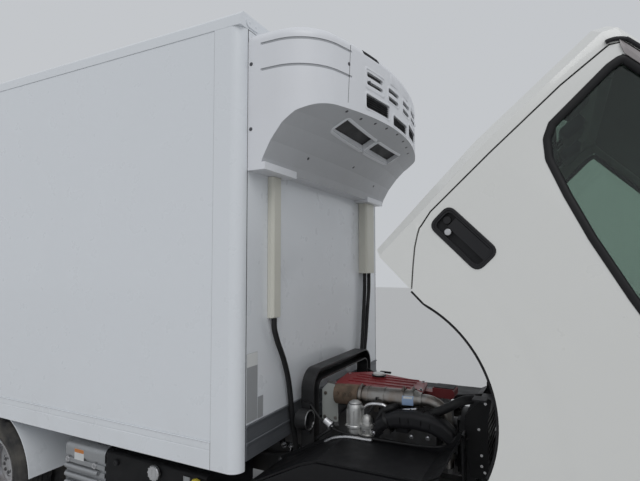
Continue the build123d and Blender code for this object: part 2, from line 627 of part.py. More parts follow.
# Arch behind the cab that carries its rear mounts, with a latch cup on its near leg
ARCH_X = (ahead(50), ahead(125))
ARCH_HALF = 412
ARCH_TOP = 1100
ARCH_WIDE = 62
ARCH_SHOULDER = 105
with BuildPart() as cab_arch:
    with BuildSketch(Plane.YZ.offset(ARCH_X[0])) as arch_face:
        inside = ARCH_HALF - ARCH_WIDE
        with BuildLine():
            FilletPolyline(
                (-ARCH_HALF, 540), (-ARCH_HALF, ARCH_TOP), (ARCH_HALF, ARCH_TOP), (ARCH_HALF, 540),
                radius=ARCH_SHOULDER,
            )
            Line((ARCH_HALF, 540), (inside, 540))
            FilletPolyline(
                (inside, 540), (inside, ARCH_TOP - ARCH_WIDE), (-inside, ARCH_TOP - ARCH_WIDE), (-inside, 540),
                radius=ARCH_SHOULDER - ARCH_WIDE,
            )
            Line((-inside, 540), (-ARCH_HALF, 540))
        make_face()
    extrude(arch_face.sketch, amount=ARCH_X[1] - ARCH_X[0])
    with BuildSketch(Plane.YZ.offset(ARCH_X[0] + 8)) as channel_face:
        with BuildLine():
            FilletPolyline(
                (-ARCH_HALF + 8, 700), (-ARCH_HALF + 8, ARCH_TOP - 8), (ARCH_HALF - 8, ARCH_TOP - 8),
                (ARCH_HALF - 8, 700), radius=ARCH_SHOULDER - 8,
            )
            Line((ARCH_HALF - 8, 700), (inside + 8, 700))
            FilletPolyline(
                (inside + 8, 700), (inside + 8, ARCH_TOP - ARCH_WIDE + 8), (-inside - 8, ARCH_TOP - ARCH_WIDE + 8),
                (-inside - 8, 700), radius=ARCH_SHOULDER - ARCH_WIDE + 8,
            )
            Line((-inside - 8, 700), (-ARCH_HALF + 8, 700))
        make_face()
    extrude(channel_face.sketch, amount=ARCH_X[1] - ARCH_X[0], mode=Mode.SUBTRACT)
    for side in SIDES.values():
        rod((ahead(60), side * 452, 860), (ahead(120), side * 452, 860), 52)
        rod((ahead(70), side * 452, 860), (ahead(121), side * 452, 860), 44, mode=Mode.SUBTRACT)
        block((ahead(70), ahead(110)), span(side, ARCH_HALF - 20, 430), (780, 940))
save(cab_arch, "cab_arch")

# Silencer and boxes under the load box
MUFFLER_X = (ahead(-1300), ahead(-970))
MUFFLER_Y = (-800, -420)
with BuildPart() as muffler:
    with BuildSketch(Plane.YZ.offset(MUFFLER_X[0])) as muffler_face:
        with BuildLine():
            FilletPolyline(
                (MUFFLER_Y[1], 385), (MUFFLER_Y[0] + 30, 385), (MUFFLER_Y[0], 430), (MUFFLER_Y[0], 645),
                (MUFFLER_Y[1], 645), radius=[20, 20, 46],
            )
            Line((MUFFLER_Y[1], 645), (MUFFLER_Y[1], 385))
        make_face()
    extrude(muffler_face.sketch, amount=MUFFLER_X[1] - MUFFLER_X[0])
    for z in (555, 515, 475, 435):
        block(MUFFLER_X, (MUFFLER_Y[0] - 1, MUFFLER_Y[0] + 8), (z - 7, z + 7), mode=Mode.SUBTRACT)
    block((ahead(-1200), ahead(-1070)), (MUFFLER_Y[1], -RAIL_OUTER), (600, 630))
    rod((MUFFLER_X[0] + 20, -600, 470), (MUFFLER_X[0] - 60, -600, 470), 32)
save(muffler, "muffler")

# x ahead of the wall, y, z of each box, and the corner radius along its length
CASES = [
    ((-950, -250), (-805, -420), (385, 640), 20),
    ((-1250, -650), (420, 805), (370, 640), 70),
    ((-560, -180), (420, 790), (400, 640), 20),
]
CASE_ARMS = [((-800, -400), -1), ((-1100, -800), 1), ((-450, -300), 1)]
# x ahead of the wall, height, radius and length of each cap or knob on the near side
CASE_CAPS = [(-866, 593, 14, 10), (-579, 598, 34, 22), (-300, 592, 30, 24)]
with BuildPart() as side_boxes:
    for xs, ys, zs, corner in CASES:
        with BuildSketch(Plane.YZ.offset(ahead(xs[0]))) as case_face:
            with Locations((sum(ys) / 2, sum(zs) / 2)):
                RectangleRounded(ys[1] - ys[0], zs[1] - zs[0], corner)
        extrude(case_face.sketch, amount=xs[1] - xs[0])
    for xs, side in CASE_ARMS:
        block((ahead(xs[0]), ahead(xs[1])), span(side, RAIL_OUTER, 450), (590, 606))
    near_face = CASES[0][1][0]
    for x, z, radius, long in CASE_CAPS:
        rod((ahead(x), near_face, z), (ahead(x), near_face - long, z), radius)
    rod((ahead(-1150), 805, 570), (ahead(-1150), 835, 590), 40)
save(side_boxes, "side_boxes")

# Rear mudguards: a bent sheet before each pair of wheels and a flap behind
GUARD_R = 400
GUARD_Y = (445, 862)
GUARD_THICK = 6
with BuildPart() as mudguards:
    for side in SIDES.values():
        ys = span(side, *GUARD_Y)
        with BuildSketch(Plane.XZ.offset(-ys[1])):
            with BuildLine():
                bend = ThreePointArc(*[
                    (REAR_AXLE + GUARD_R * cos(radians(a)), TYRE_R + GUARD_R * sin(radians(a)))
                    for a in (5, 35, 62)
                ])
                offset(bend, amount=GUARD_THICK, side=Side.RIGHT)
            make_face()
        extrude(amount=ys[1] - ys[0])
        block((REAR_AXLE + 188, REAR_AXLE + 420), ys, (709, BOX_BOTTOM))
        block((REAR_AXLE - 440, REAR_AXLE - 434), ys, (230, BOX_BOTTOM))
save(mudguards, "rear_mudguards")

BUMPER_BAR_Z = (390, 480)
with BuildPart() as rear_bumper:
    block((BOX_REAR + 10, BOX_REAR + 60), (-BOX_HALF + 50, BOX_HALF - 50), BUMPER_BAR_Z)
    for side in SIDES.values():
        block((BOX_REAR + 10, BOX_REAR + 50), span(side, 300, 340), (BUMPER_BAR_Z[1], RAIL_BOTTOM))
save(rear_bumper, "rear_bumper")

with BuildPart() as tail_lamps:
    for side in SIDES.values():
        block((BOX_REAR + 15, BOX_REAR + 55), span(side, BOX_HALF - 340, BOX_HALF - 80), (BUMPER_BAR_Z[1], 575))
        for number in range(3):
            y = BOX_HALF - 300 + 90 * number
            rod((BOX_REAR + 16, side * y, 528), (BOX_REAR + 9, side * y, 528), 34)
save(tail_lamps, "tail_lamps")

# Insulated box
SIDE_X = (BOX_REAR + REAR_FRAME_THICK, BOX_FRONT - POST_LONG)
with BuildPart() as box_floor:
    block((SIDE_X[0], BOX_FRONT - WALL), (-INNER_HALF, INNER_HALF), (SLEEPER_TOP, FLOOR_TOP))
save(box_floor, "box_floor")

with BuildPart() as box_front_wall:
    block((BOX_FRONT - WALL, BOX_FRONT), (-FRONT_FLAT_HALF, FRONT_FLAT_HALF), (BAND_BOTTOM, TOP_RAIL_BOTTOM))
save(box_front_wall, "box_front_wall")

with BuildPart() as box_side_walls:
    for side in SIDES.values():
        block(SIDE_X, span(side, INNER_HALF, BOX_HALF), (FLOOR_TOP, TOP_RAIL_BOTTOM))
save(box_side_walls, "box_side_walls")

ROOF_DOWN = 4
HEADER_THICK = 70
with BuildPart() as box_roof:
    roof_half = BOX_HALF - TOP_RAIL_WIDE
    block((SIDE_X[0], BOX_FRONT - HEADER_THICK), (-roof_half, roof_half), (TOP_RAIL_BOTTOM, BOX_TOP - ROOF_DOWN))
save(box_roof, "box_roof")

with BuildPart() as box_rails:
    for side in SIDES.values():
        lower_rail = [
            (INNER_HALF, BOX_BOTTOM), (RAIL_HALF, BOX_BOTTOM), (RAIL_HALF, FLOOR_TOP - 42),
            (RAIL_HALF - 2, FLOOR_TOP - 41), (RAIL_HALF - 2, FLOOR_TOP - 38), (RAIL_HALF, FLOOR_TOP - 37),
            (RAIL_HALF, FLOOR_TOP - 6), (RAIL_HALF + LIP_PROUD, FLOOR_TOP - 4), (RAIL_HALF + LIP_PROUD, FLOOR_TOP),
            (INNER_HALF, FLOOR_TOP),
        ]
        front_plate([(side * y, z) for y, z in lower_rail], SIDE_X)
        upper_rail = [
            (BOX_HALF - TOP_RAIL_WIDE, TOP_RAIL_BOTTOM), (RAIL_HALF, TOP_RAIL_BOTTOM),
            (RAIL_HALF, BOX_TOP - TOP_RAIL_CHAMFER), (RAIL_HALF - TOP_RAIL_CHAMFER, BOX_TOP),
            (BOX_HALF - TOP_RAIL_WIDE, BOX_TOP),
        ]
        front_plate([(side * y, z) for y, z in upper_rail], (SIDE_X[0], BOX_FRONT))
    block((BOX_FRONT - HEADER_THICK, BOX_FRONT), (-FRONT_FLAT_HALF, FRONT_FLAT_HALF), (TOP_RAIL_BOTTOM, BOX_TOP))
save(box_rails, "box_rails")

with BuildPart() as corner_posts:
    for side in SIDES.values():
        with BuildSketch(Plane.XY.offset(BOX_BOTTOM)):
            Polygon(
                (SIDE_X[1], side * INNER_HALF), (SIDE_X[1], side * RAIL_HALF),
                (BOX_FRONT, side * RAIL_HALF), (BOX_FRONT, side * FRONT_FLAT_HALF),
                (BOX_FRONT - WALL, side * FRONT_FLAT_HALF),
                (BOX_FRONT - WALL, side * INNER_HALF), align=None,
            )
            corner = vertices().sort_by(Axis.X)[-2:].sort_by(Axis.Y)[-1 if side > 0 else 0]
            fillet(corner, POST_RADIUS)
        extrude(amount=TOP_RAIL_BOTTOM - BOX_BOTTOM)
save(corner_posts, "corner_posts")

# Ribbed band along the foot of the front wall: proud of the wall, height above the band's foot
BAND_LINES = [
    (0, 0), (BAND_THICK, 0), (BAND_THICK, 66), (BAND_THICK + 4, 68), (BAND_THICK + 4, 78), (BAND_THICK, 80),
    (BAND_THICK, BAND_HIGH - 10), (BAND_THICK + 6, BAND_HIGH - 8), (BAND_THICK + 6, BAND_HIGH), (0, BAND_HIGH),
]
with BuildPart() as front_band:
    band_face = [(ahead(out), BAND_BOTTOM + up) for out, up in BAND_LINES]
    side_plate(band_face, (-FRONT_FLAT_HALF, FRONT_FLAT_HALF))
save(front_band, "front_band")

REAR_OPEN_HALF = RAIL_HALF - REAR_POST_WIDE
REAR_OPEN_Z = (FLOOR_TOP, TOP_RAIL_BOTTOM - 4)
DOOR_Z = (REAR_OPEN_Z[0] + DOOR_GAP, REAR_OPEN_Z[1] - DOOR_GAP)
DOOR_HIGH = DOOR_Z[1] - DOOR_Z[0]
HINGE_PLACES = [DOOR_Z[0] + share * DOOR_HIGH for share in (0.1, 0.39, 0.68, 0.92)]
BAR_GUIDES = [DOOR_Z[0] + share * DOOR_HIGH for share in (0.03, 0.28, 0.62, 0.97)]
PIN_X = BOX_REAR - BOX_DOOR_PIN_BACK
with BuildPart() as rear_frame:
    block((BOX_REAR, SIDE_X[0]), (-RAIL_HALF, RAIL_HALF), (BOX_BOTTOM, BOX_TOP))
    block((BOX_REAR - 1, SIDE_X[0] + 1), (-REAR_OPEN_HALF, REAR_OPEN_HALF), REAR_OPEN_Z, mode=Mode.SUBTRACT)
    for side in SIDES.values():
        pin_y = side * (BOX_HALF + BOX_DOOR_PIN_OUT)
        for z in HINGE_PLACES:
            for low, high in ((z - 60, z - 22), (z + 22, z + 60)):
                block((PIN_X - 9, BOX_REAR + 40), tuple(sorted((side * RAIL_HALF, pin_y))), (low, high))
            rod((PIN_X, pin_y, z - 60), (PIN_X, pin_y, z + 60), BOX_DOOR_PIN_R)
save(rear_frame, "box_rear_frame")

DOOR_INSIDE = BOX_REAR + 76
STRAP_START = BOX_HALF - 260
BAR_Y = 90
for name, side in SIDES.items():
    pin_y = side * (BOX_HALF + BOX_DOOR_PIN_OUT)
    edge_y = side * (REAR_OPEN_HALF - DOOR_GAP)
    with BuildPart() as box_door:
        leaf = [(BOX_REAR, edge_y), (BOX_REAR, side * 3), (DOOR_INSIDE, side * 18), (DOOR_INSIDE, edge_y)]
        plan_plate(leaf, DOOR_Z)
        inner_skin = [(BOX_REAR + 30, side * 120), (BOX_REAR - 4, side * 120), (BOX_REAR - 4, side * (STRAP_START - 40)),
                      (BOX_REAR + 30, side * (STRAP_START - 40))]
        plan_plate(inner_skin, (DOOR_Z[0] + 70, DOOR_Z[1] - 70))
        for z in HINGE_PLACES:
            block((BOX_REAR - 20, BOX_REAR), tuple(sorted((side * STRAP_START, edge_y))), (z - 20, z + 20))
            block((PIN_X - 14, BOX_REAR - 10), tuple(sorted((edge_y, pin_y))), (z - 20, z + 20))
            rod((PIN_X, pin_y, z - 20), (PIN_X, pin_y, z + 20), 16)
            rod((PIN_X, pin_y, z - 21), (PIN_X, pin_y, z + 21), BOX_DOOR_PIN_R + RUNNING, mode=Mode.SUBTRACT)
    save(box_door, f"box_door_{name}")
    with BuildPart() as lock_bar:
        bar_y = side * BAR_Y
        bar_x = BOX_REAR - LOCK_BAR_STAND
        rod((bar_x, bar_y, DOOR_Z[0] + 10), (bar_x, bar_y, DOOR_Z[1] - 10), LOCK_BAR_R)
        for z in BAR_GUIDES:
            block((bar_x - 5, BOX_REAR), tuple(sorted((bar_y - 30, bar_y + 30))), (z - 20, z + 20))
        block((bar_x - 12, bar_x + 6), span(side, BAR_Y, 380), (1250, 1285))
        block((bar_x - 8, BOX_REAR - 4), span(side, 330, 390), (1235, 1250))
    save(lock_bar, f"lock_bar_{name}")

# Refrigeration unit: a bowed housing with a bowl-shaped underside that slants up from the wall
UNIT_STRAIGHT = 150
UNIT_CORNER_X = 383
UNIT_CORNER_IN = 168
UNIT_REACH = UNIT_HALF + 40
# rise above the unit's foot, depth at its sides, depth at its middle
UNIT_UNDER = [
    (0, 70, 90), (40, 84, 110), (115, 125, 165), (190, 182, 260), (240, 235, 350), (275, 300, 430), (310, 400, 500),
]
VENT_DEEP = 25
VENT_FACE = 12
# y from the unit's middle to both ends, drop below the unit's top to both ends
UNIT_VENTS = [
    (-450, -290, 15, 40), (290, 450, 15, 40), (-420, -260, 120, 145), (260, 420, 120, 145),
    (-420, -260, 165, 185), (260, 420, 165, 185), (-430, -180, 235, 305), (180, 430, 235, 305),
    (-190, -40, 175, 200), (40, 190, 175, 200), (-190, -40, 132, 154), (40, 190, 132, 154),
    (-125, 125, 265, 320),
]
UNDER_VENTS = [(-490, -100), (-60, 330)]
GROOVE_DROPS = (67, 190)


def unit_body(inset, bottom, top):
    """The unit's plan form, drawn in by an inset, between two heights."""
    half = UNIT_HALF - inset
    corner_x = ahead(UNIT_CORNER_X - inset)
    corner_half = half - UNIT_CORNER_IN
    with BuildPart() as body:
        with BuildSketch(Plane.XY.offset(bottom)) as plan:
            with BuildLine():
                for side in SIDES.values():
                    wall_end = (BOX_FRONT, UNIT_Y + side * half)
                    bend = (ahead(UNIT_STRAIGHT), UNIT_Y + side * half)
                    Line(wall_end, bend)
                    TangentArc(bend, (corner_x, UNIT_Y + side * corner_half), tangent=(1, 0))
                ThreePointArc(
                    (corner_x, UNIT_Y - corner_half), (ahead(UNIT_DEEP - inset), UNIT_Y),
                    (corner_x, UNIT_Y + corner_half),
                )
                Line((BOX_FRONT, UNIT_Y + half), (BOX_FRONT, UNIT_Y - half))
            make_face()
        extrude(plan.sketch, amount=top - bottom)
    return body.part


vent_floor = unit_body(VENT_DEEP, UNIT_BOTTOM, UNIT_TOP)
vent_front = unit_body(VENT_FACE, UNIT_BOTTOM, UNIT_TOP)
groove_floor = unit_body(4, UNIT_BOTTOM, UNIT_TOP)

with BuildPart() as vent_spaces:
    for low, high, drop, foot in UNIT_VENTS:
        with BuildSketch(Plane.YZ.offset(ahead(200))) as vent:
            with Locations((UNIT_Y + (low + high) / 2, UNIT_TOP - (drop + foot) / 2)):
                RectangleRounded(high - low, foot - drop, 9)
        extrude(vent.sketch, amount=400)

with BuildPart() as grooves:
    for drop in GROOVE_DROPS:
        for side in SIDES.values():
            ys = tuple(sorted((UNIT_Y + side * 545, UNIT_Y + side * UNIT_REACH)))
            block((ahead(70), ahead(600)), ys, (UNIT_TOP - drop - 6, UNIT_TOP - drop + 6))
    add(groove_floor, mode=Mode.SUBTRACT)

with BuildPart() as under_bowl:
    levels = []
    for rise, side_deep, middle_deep in UNIT_UNDER:
        with BuildSketch(Plane.XY.offset(UNIT_BOTTOM + rise)) as level:
            with BuildLine():
                Polyline(
                    (ahead(side_deep), UNIT_REACH), (BOX_FRONT, UNIT_REACH), (BOX_FRONT, -UNIT_REACH),
                    (ahead(side_deep), -UNIT_REACH),
                )
                ThreePointArc((ahead(side_deep), -UNIT_REACH), (ahead(middle_deep), 0), (ahead(side_deep), UNIT_REACH))
            make_face()
        levels.append(level.sketch)
    loft(levels, ruled=True)
    last_rise = UNIT_BOTTOM + UNIT_UNDER[-1][0]
    block((BOX_FRONT, ahead(600)), (-UNIT_REACH, UNIT_REACH), (last_rise, UNIT_TOP + 10))

with BuildPart() as cooling_unit:
    add(unit_body(0, UNIT_BOTTOM, UNIT_TOP))
    rim = faces().sort_by(Axis.Z)[-1].edges().filter_by(lambda edge: edge.center().X > ahead(1))
    fillet(rim, UNIT_EDGE)
    add(under_bowl.part, mode=Mode.INTERSECT)
    with BuildPart(mode=Mode.PRIVATE) as pockets:
        add(vent_spaces.part)
        add(vent_floor, mode=Mode.SUBTRACT)
    add(pockets.part, mode=Mode.SUBTRACT)
    add(grooves.part, mode=Mode.SUBTRACT)
    for low, high in UNDER_VENTS:
        opening = [(285, 0), (285, 246), (362, 287), (362, 0)]
        side_plate([(ahead(x), UNIT_BOTTOM + rise) for x, rise in opening], (UNIT_Y + low, UNIT_Y + high),
                   mode=Mode.SUBTRACT)
    for low, high in ((-840, -550), (440, 740)):
        block((BOX_FRONT, ahead(98)), (low, high), (UNIT_BOTTOM - 15, UNIT_BOTTOM + 20))
save(cooling_unit, "cooling_unit")

with BuildPart() as unit_vents:
    add(vent_spaces.part)
    add(vent_front, mode=Mode.INTERSECT)
    add(vent_floor, mode=Mode.SUBTRACT)
    for low, high in UNDER_VENTS:
        backing = [(285, 234), (285, 246), (362, 287), (362, 275)]
        side_plate([(ahead(x), UNIT_BOTTOM + rise) for x, rise in backing], (UNIT_Y + low, UNIT_Y + high))
save(unit_vents, "unit_vents")

EVAPORATOR_DEEP = 420
EVAPORATOR_HIGH = 228
with BuildPart() as evaporator:
    wall_inside = BOX_FRONT - WALL
    evaporator_half = BOX_HALF - 280
    evaporator_bottom = TOP_RAIL_BOTTOM - EVAPORATOR_HIGH
    profile = [
        (wall_inside, evaporator_bottom), (wall_inside - EVAPORATOR_DEEP + 60, evaporator_bottom),
        (wall_inside - EVAPORATOR_DEEP, evaporator_bottom + 60), (wall_inside - EVAPORATOR_DEEP, TOP_RAIL_BOTTOM),
        (wall_inside, TOP_RAIL_BOTTOM),
    ]
    side_plate(profile, (-evaporator_half, evaporator_half))
    for y in (-0.5, 0, 0.5):
        place = (wall_inside - EVAPORATOR_DEEP, y * evaporator_half, TOP_RAIL_BOTTOM - 86)
        rod(place, (place[0] - 12, place[1], place[2]), 76)
save(evaporator, "evaporator")

# y range, height, depth and length of each duct cover, hung below the unit's feet
DUCTS = [((-668, -585), 700, 35), ((510, 670), 500, 62)]
DUCT_TOP = UNIT_BOTTOM - 15
with BuildPart() as ducts:
    for ys, long, deep in DUCTS:
        low, high = ys
        cover = [
            (BOX_FRONT, low), (ahead(deep - 12), low), (ahead(deep), low + 12), (ahead(deep), high - 12),
            (ahead(deep - 12), high), (BOX_FRONT, high),
        ]
        plan_plate(cover, (DUCT_TOP - long, DUCT_TOP))
save(ducts, "ducts")

HOSE_X = ahead(30)
HOSE_FOOT = 650
near_foot, far_foot = [DUCT_TOP - long for ys, long, deep in DUCTS]
# hose radius, its places in y and z
HOSES = [
    (14, [(-650, near_foot), (-650, 1345), (-618, 1275), (-563, 1190), (-513, 1080), (-487, 960), (-470, 850),
          (-436, 730), (-436, HOSE_FOOT)]),
    (13, [(550, far_foot), (550, 1480), (528, 1330), (508, 1160), (470, 980), (390, 790), (390, HOSE_FOOT)]),
    (13, [(630, far_foot), (630, 1470), (596, 1320), (568, 1150), (520, 980), (430, 790), (430, HOSE_FOOT)]),
]
with BuildPart() as hoses:
    for radius, route in HOSES:
        bends = tube([(HOSE_X, y, z) for y, z in route], radius)
        print("hose bend radii", [round(r) for r in bends])
save(hoses, "hoses")

# Cab. Its body is lofted through level sections, then hollowed and split.
# height, back, front, half width
CAB_SECTIONS = [
    (440, -431, 1000, 845),
    (1040, -440, 1000, 845),
    (1160, -442, 958, 845),
    (1400, -444, 868, 843),
    (1925, -418, 664, 806),
    (1972, -396, 630, 780),
    (1990, -350, 575, 730),
]
CAB_TOP_START = 1900


def cab_level(z, back, front_x, half):
    """One level section of the cab, with rounded front corners and a bowed front."""
    x0, x1 = front(back), front(front_x)
    with BuildSketch(Plane.XY.offset(z)) as level:
        with BuildLine():
            for side in SIDES.values():
                Polyline(
                    (x0, 0), (x0, side * (half - 40)), (x0 + 40, side * half), (x1 - 300, side * half),
                    (x1 - 95, side * (half - 20)),
                )
                ThreePointArc(
                    (x1 - 95, side * (half - 20)), (x1 - 42, side * (half - 56)), (x1 - 22, side * (half - 125)),
                )
            ThreePointArc((x1 - 22, half - 125), (x1, 0), (x1 - 22, 125 - half))
        make_face()
    return level.sketch


def cab_body(inset):
    """The cab's outer form, drawn in by an inset."""
    with BuildPart() as body:
        levels = []
        for z, back, front_x, half in CAB_SECTIONS:
            height = z - inset if z > CAB_TOP_START else z
            levels.append(cab_level(height, back + inset, front_x - inset, half - inset))
        loft(levels, ruled=True)
        block((0, 3000), (-1000, 1000), (0, CAB_BOTTOM), mode=Mode.SUBTRACT)
    return body.part


# Flare over the wheel, in side view: it stands proud of the side and fades along its upper edge
FLARE_SIDE = [
    (-470, 1030), (-217, 1060), (70, 1040), (183, 1018), (319, 966), (452, 898), (595, 800), (690, 640),
    (705, 410), (-470, 410),
]
FLARE_REAR = -398
with BuildPart() as outer_body:
    add(cab_body(0))
    for side in SIDES.values():
        with BuildSketch(Plane.XZ.offset(-side * CAB_HALF)) as flare:
            Polygon(*[(front(x), z) for x, z in FLARE_SIDE], align=None)
        extrude(flare.sketch, amount=-side * FLARE_PROUD, taper=FLARE_TAPER)
        ys = span(side, CAB_HALF, CAB_HALF + 2 * FLARE_PROUD)
        block((front(-600), front(FLARE_REAR)), ys, (0, 2000), mode=Mode.SUBTRACT)
        block((front(-600), front(1000)), ys, (0, CAB_BOTTOM), mode=Mode.SUBTRACT)

outer_form = outer_body.part
glass_outer = cab_body(14)
glass_inner = cab_body(20)
inner_form = cab_body(CAB_WALL)

DOOR_SIDE = [
    (-300, 1945), (-333, 1907), (-355, 1718), (-366, 1452), (-377, 1103), (-363, 1028), (-323, 965),
    (-277, 908), (-224, 847), (-190, 800), (0, 560), (745, 560), (745, 1455), (575, 1945),
]
WINDOW_SIDE = [
    (-286, 1600), (-261, 1549), (-203, 1500), (-74, 1446), (79, 1391), (294, 1329), (700, 1232),
    (700, 1440), (548, 1905), (-275, 1905), (-286, 1850),
]
SCREEN_FRONT = [(-690, 1190), (690, 1190), (660, 1880), (-660, 1880)]
BACK_GLASS = [(-400, 1530), (400, 1530), (400, 1860), (-400, 1860)]
HANDLE_AT = (-217, 1114)
HANDLE_LONG, HANDLE_HIGH = 240, 100
GRILLE_HALF = 600
GRILLE_Z = (800, 980)
GRILLE_DEEP = 20


def arch_cut():
    """Cut the wheel arches and the open space under the cab's tail and nose."""
    with BuildSketch(Plane.XZ) as cuts:
        with Locations((FRONT_AXLE, ARCH_Z)):
            Circle(ARCH_R)
        Polygon((front(-600), 300), (front(0), 300), (front(0), CAB_REAR_BOTTOM),
                (front(-600), CAB_REAR_BOTTOM), align=None)
        Polygon((front(SKIRT_FRONT), 300), (front(1100), 300), (front(1100), CAB_NOSE_BOTTOM),
                (front(SKIRT_FRONT), CAB_NOSE_BOTTOM), align=None)
    extrude(cuts.sketch, amount=1000, both=True, mode=Mode.SUBTRACT)


def outline_prism(points, y_range, inset=0):
    """A side outline, drawn in by an inset, as thick as its range of y."""
    with BuildPart() as prism:
        with BuildSketch(Plane.XZ.offset(-y_range[1])):
            Polygon(*[(front(x), z) for x, z in points], align=None)
            if inset:
                offset(amount=-inset, kind=Kind.INTERSECTION)
        extrude(amount=y_range[1] - y_range[0])
    return prism.part


def front_prism(points, x_range):
    """A front outline, as thick as its range of x."""
    with BuildPart() as prism:
        front_plate(points, x_range)
    return prism.part


def handle_plate(inset, y_range, mode=Mode.ADD):
    """The door handle's outline, drawn in by an inset, as thick as its range of y."""
    with BuildSketch(Plane.XZ.offset(-y_range[1])) as outline:
        with Locations((front(HANDLE_AT[0]), HANDLE_AT[1])):
            RectangleRounded(HANDLE_LONG - 2 * inset, HANDLE_HIGH - 2 * inset, 30 - inset)
    extrude(outline.sketch, amount=y_range[1] - y_range[0], mode=mode)


with BuildPart() as cabin_space:
    add(inner_form)
    floor_line = [
        (-600, PLATFORM_TOP), (HEEL_X, PLATFORM_TOP), (HEEL_X, FOOTWELL_TOP), (1100, FOOTWELL_TOP),
        (1100, 300), (-600, 300),
    ]
    side_plate([(front(x), z) for x, z in floor_line], (-900, 900), mode=Mode.SUBTRACT)
    tunnel_line = [(-600, TUNNEL_TOP), (HEEL_X, TUNNEL_TOP), (720, FOOTWELL_TOP), (720, 300), (-600, 300)]
    tunnel_outside = TUNNEL_HALF + 20
    side_plate([(front(x), z) for x, z in tunnel_line], (-tunnel_outside, tunnel_outside), mode=Mode.SUBTRACT)

CAB_INNER_HALF = CAB_HALF - CAB_WALL
# The side draws in a little at the door's front edge, and the floor keeps clear of it there too
SIDE_DRAWN_IN = 8
FLOOR_EDGE = CAB_INNER_HALF - SIDE_DRAWN_IN - DOOR_GAP


def door_hole(side):
    """A door's opening: through the leaning wall above the floor, and past the floor's edge below it."""
    with BuildPart() as hole:
        add(outline_prism(DOOR_SIDE, span(side, 600, 950)))
        block((front(-600), front(1100)), span(side, 590, FLOOR_EDGE), (200, PLATFORM_TOP), mode=Mode.SUBTRACT)
    return hole.part


FLOOR_UNDER = PLATFORM_TOP - FLOOR_THICK
FOOTWELL_UNDER = FOOTWELL_TOP - FLOOR_THICK
LUG_Y = (364, 406)
with BuildPart() as cab_shell:
    add(outer_form)
    add(cabin_space.part, mode=Mode.SUBTRACT)
    arch_cut()
    below = [
        (CAB_BACK_INNER, 300), (CAB_BACK_INNER, FLOOR_UNDER), (HEEL_X - FLOOR_THICK, FLOOR_UNDER),
        (HEEL_X - FLOOR_THICK, FOOTWELL_UNDER), (950, FOOTWELL_UNDER), (950, 300),
    ]
    side_plate([(front(x), z) for x, z in below], (-CAB_INNER_HALF, CAB_INNER_HALF), mode=Mode.SUBTRACT)
    tunnel = [
        (-600, 300), (-600, TUNNEL_TOP - TUNNEL_ROOF), (HEEL_X - 15, TUNNEL_TOP - TUNNEL_ROOF),
        (700, FOOTWELL_UNDER), (700, 300),
    ]
    side_plate([(front(x), z) for x, z in tunnel], (-TUNNEL_HALF, TUNNEL_HALF), mode=Mode.SUBTRACT)
    for side in SIDES.values():
        add(door_hole(side), mode=Mode.SUBTRACT)
    add(front_prism(SCREEN_FRONT, (front(500), front(1100))), mode=Mode.SUBTRACT)
    add(front_prism(BACK_GLASS, (front(-600), front(-300))), mode=Mode.SUBTRACT)
    block((front(1000 - GRILLE_DEEP - 14), front(1010)), (-GRILLE_HALF, GRILLE_HALF), GRILLE_Z, mode=Mode.SUBTRACT)
    for side in SIDES.values():
        ys = span(side, *LUG_Y)
        with BuildSketch(Plane.XZ.offset(-ys[1])) as lug:
            Polygon((front(790), FOOTWELL_UNDER), (front(835), PIVOT_Z - 8),
                    (front(891), PIVOT_Z - 8), (front(930), FOOTWELL_UNDER), align=None)
            with Locations((front(PIVOT_AHEAD), PIVOT_Z)):
                Circle(28)
            with Locations((front(PIVOT_AHEAD), PIVOT_Z)):
                Circle(PIVOT_R + RUNNING, mode=Mode.SUBTRACT)
        extrude(lug.sketch, amount=ys[1] - ys[0])
save(cab_shell, "cab_shell", TILTED)

with BuildPart() as front_grille:
    grille_x = (front(1000 - GRILLE_DEEP - 14), front(976))
    block(grille_x, (-GRILLE_HALF + 1, GRILLE_HALF - 1), (GRILLE_Z[0] + 1, GRILLE_Z[1] - 1))
    block((grille_x[0] + 5, front(980)), (-GRILLE_HALF + 20, GRILLE_HALF - 20), (GRILLE_Z[0] + 20, GRILLE_Z[1] - 20),
          mode=Mode.SUBTRACT)
    for z in range(GRILLE_Z[0] + 40, GRILLE_Z[1] - 30, 28):
        block((grille_x[0] + 4, grille_x[1]), (-GRILLE_HALF + 20, GRILLE_HALF - 20), (z, z + 8))
save(front_grille, "front_grille", TILTED)

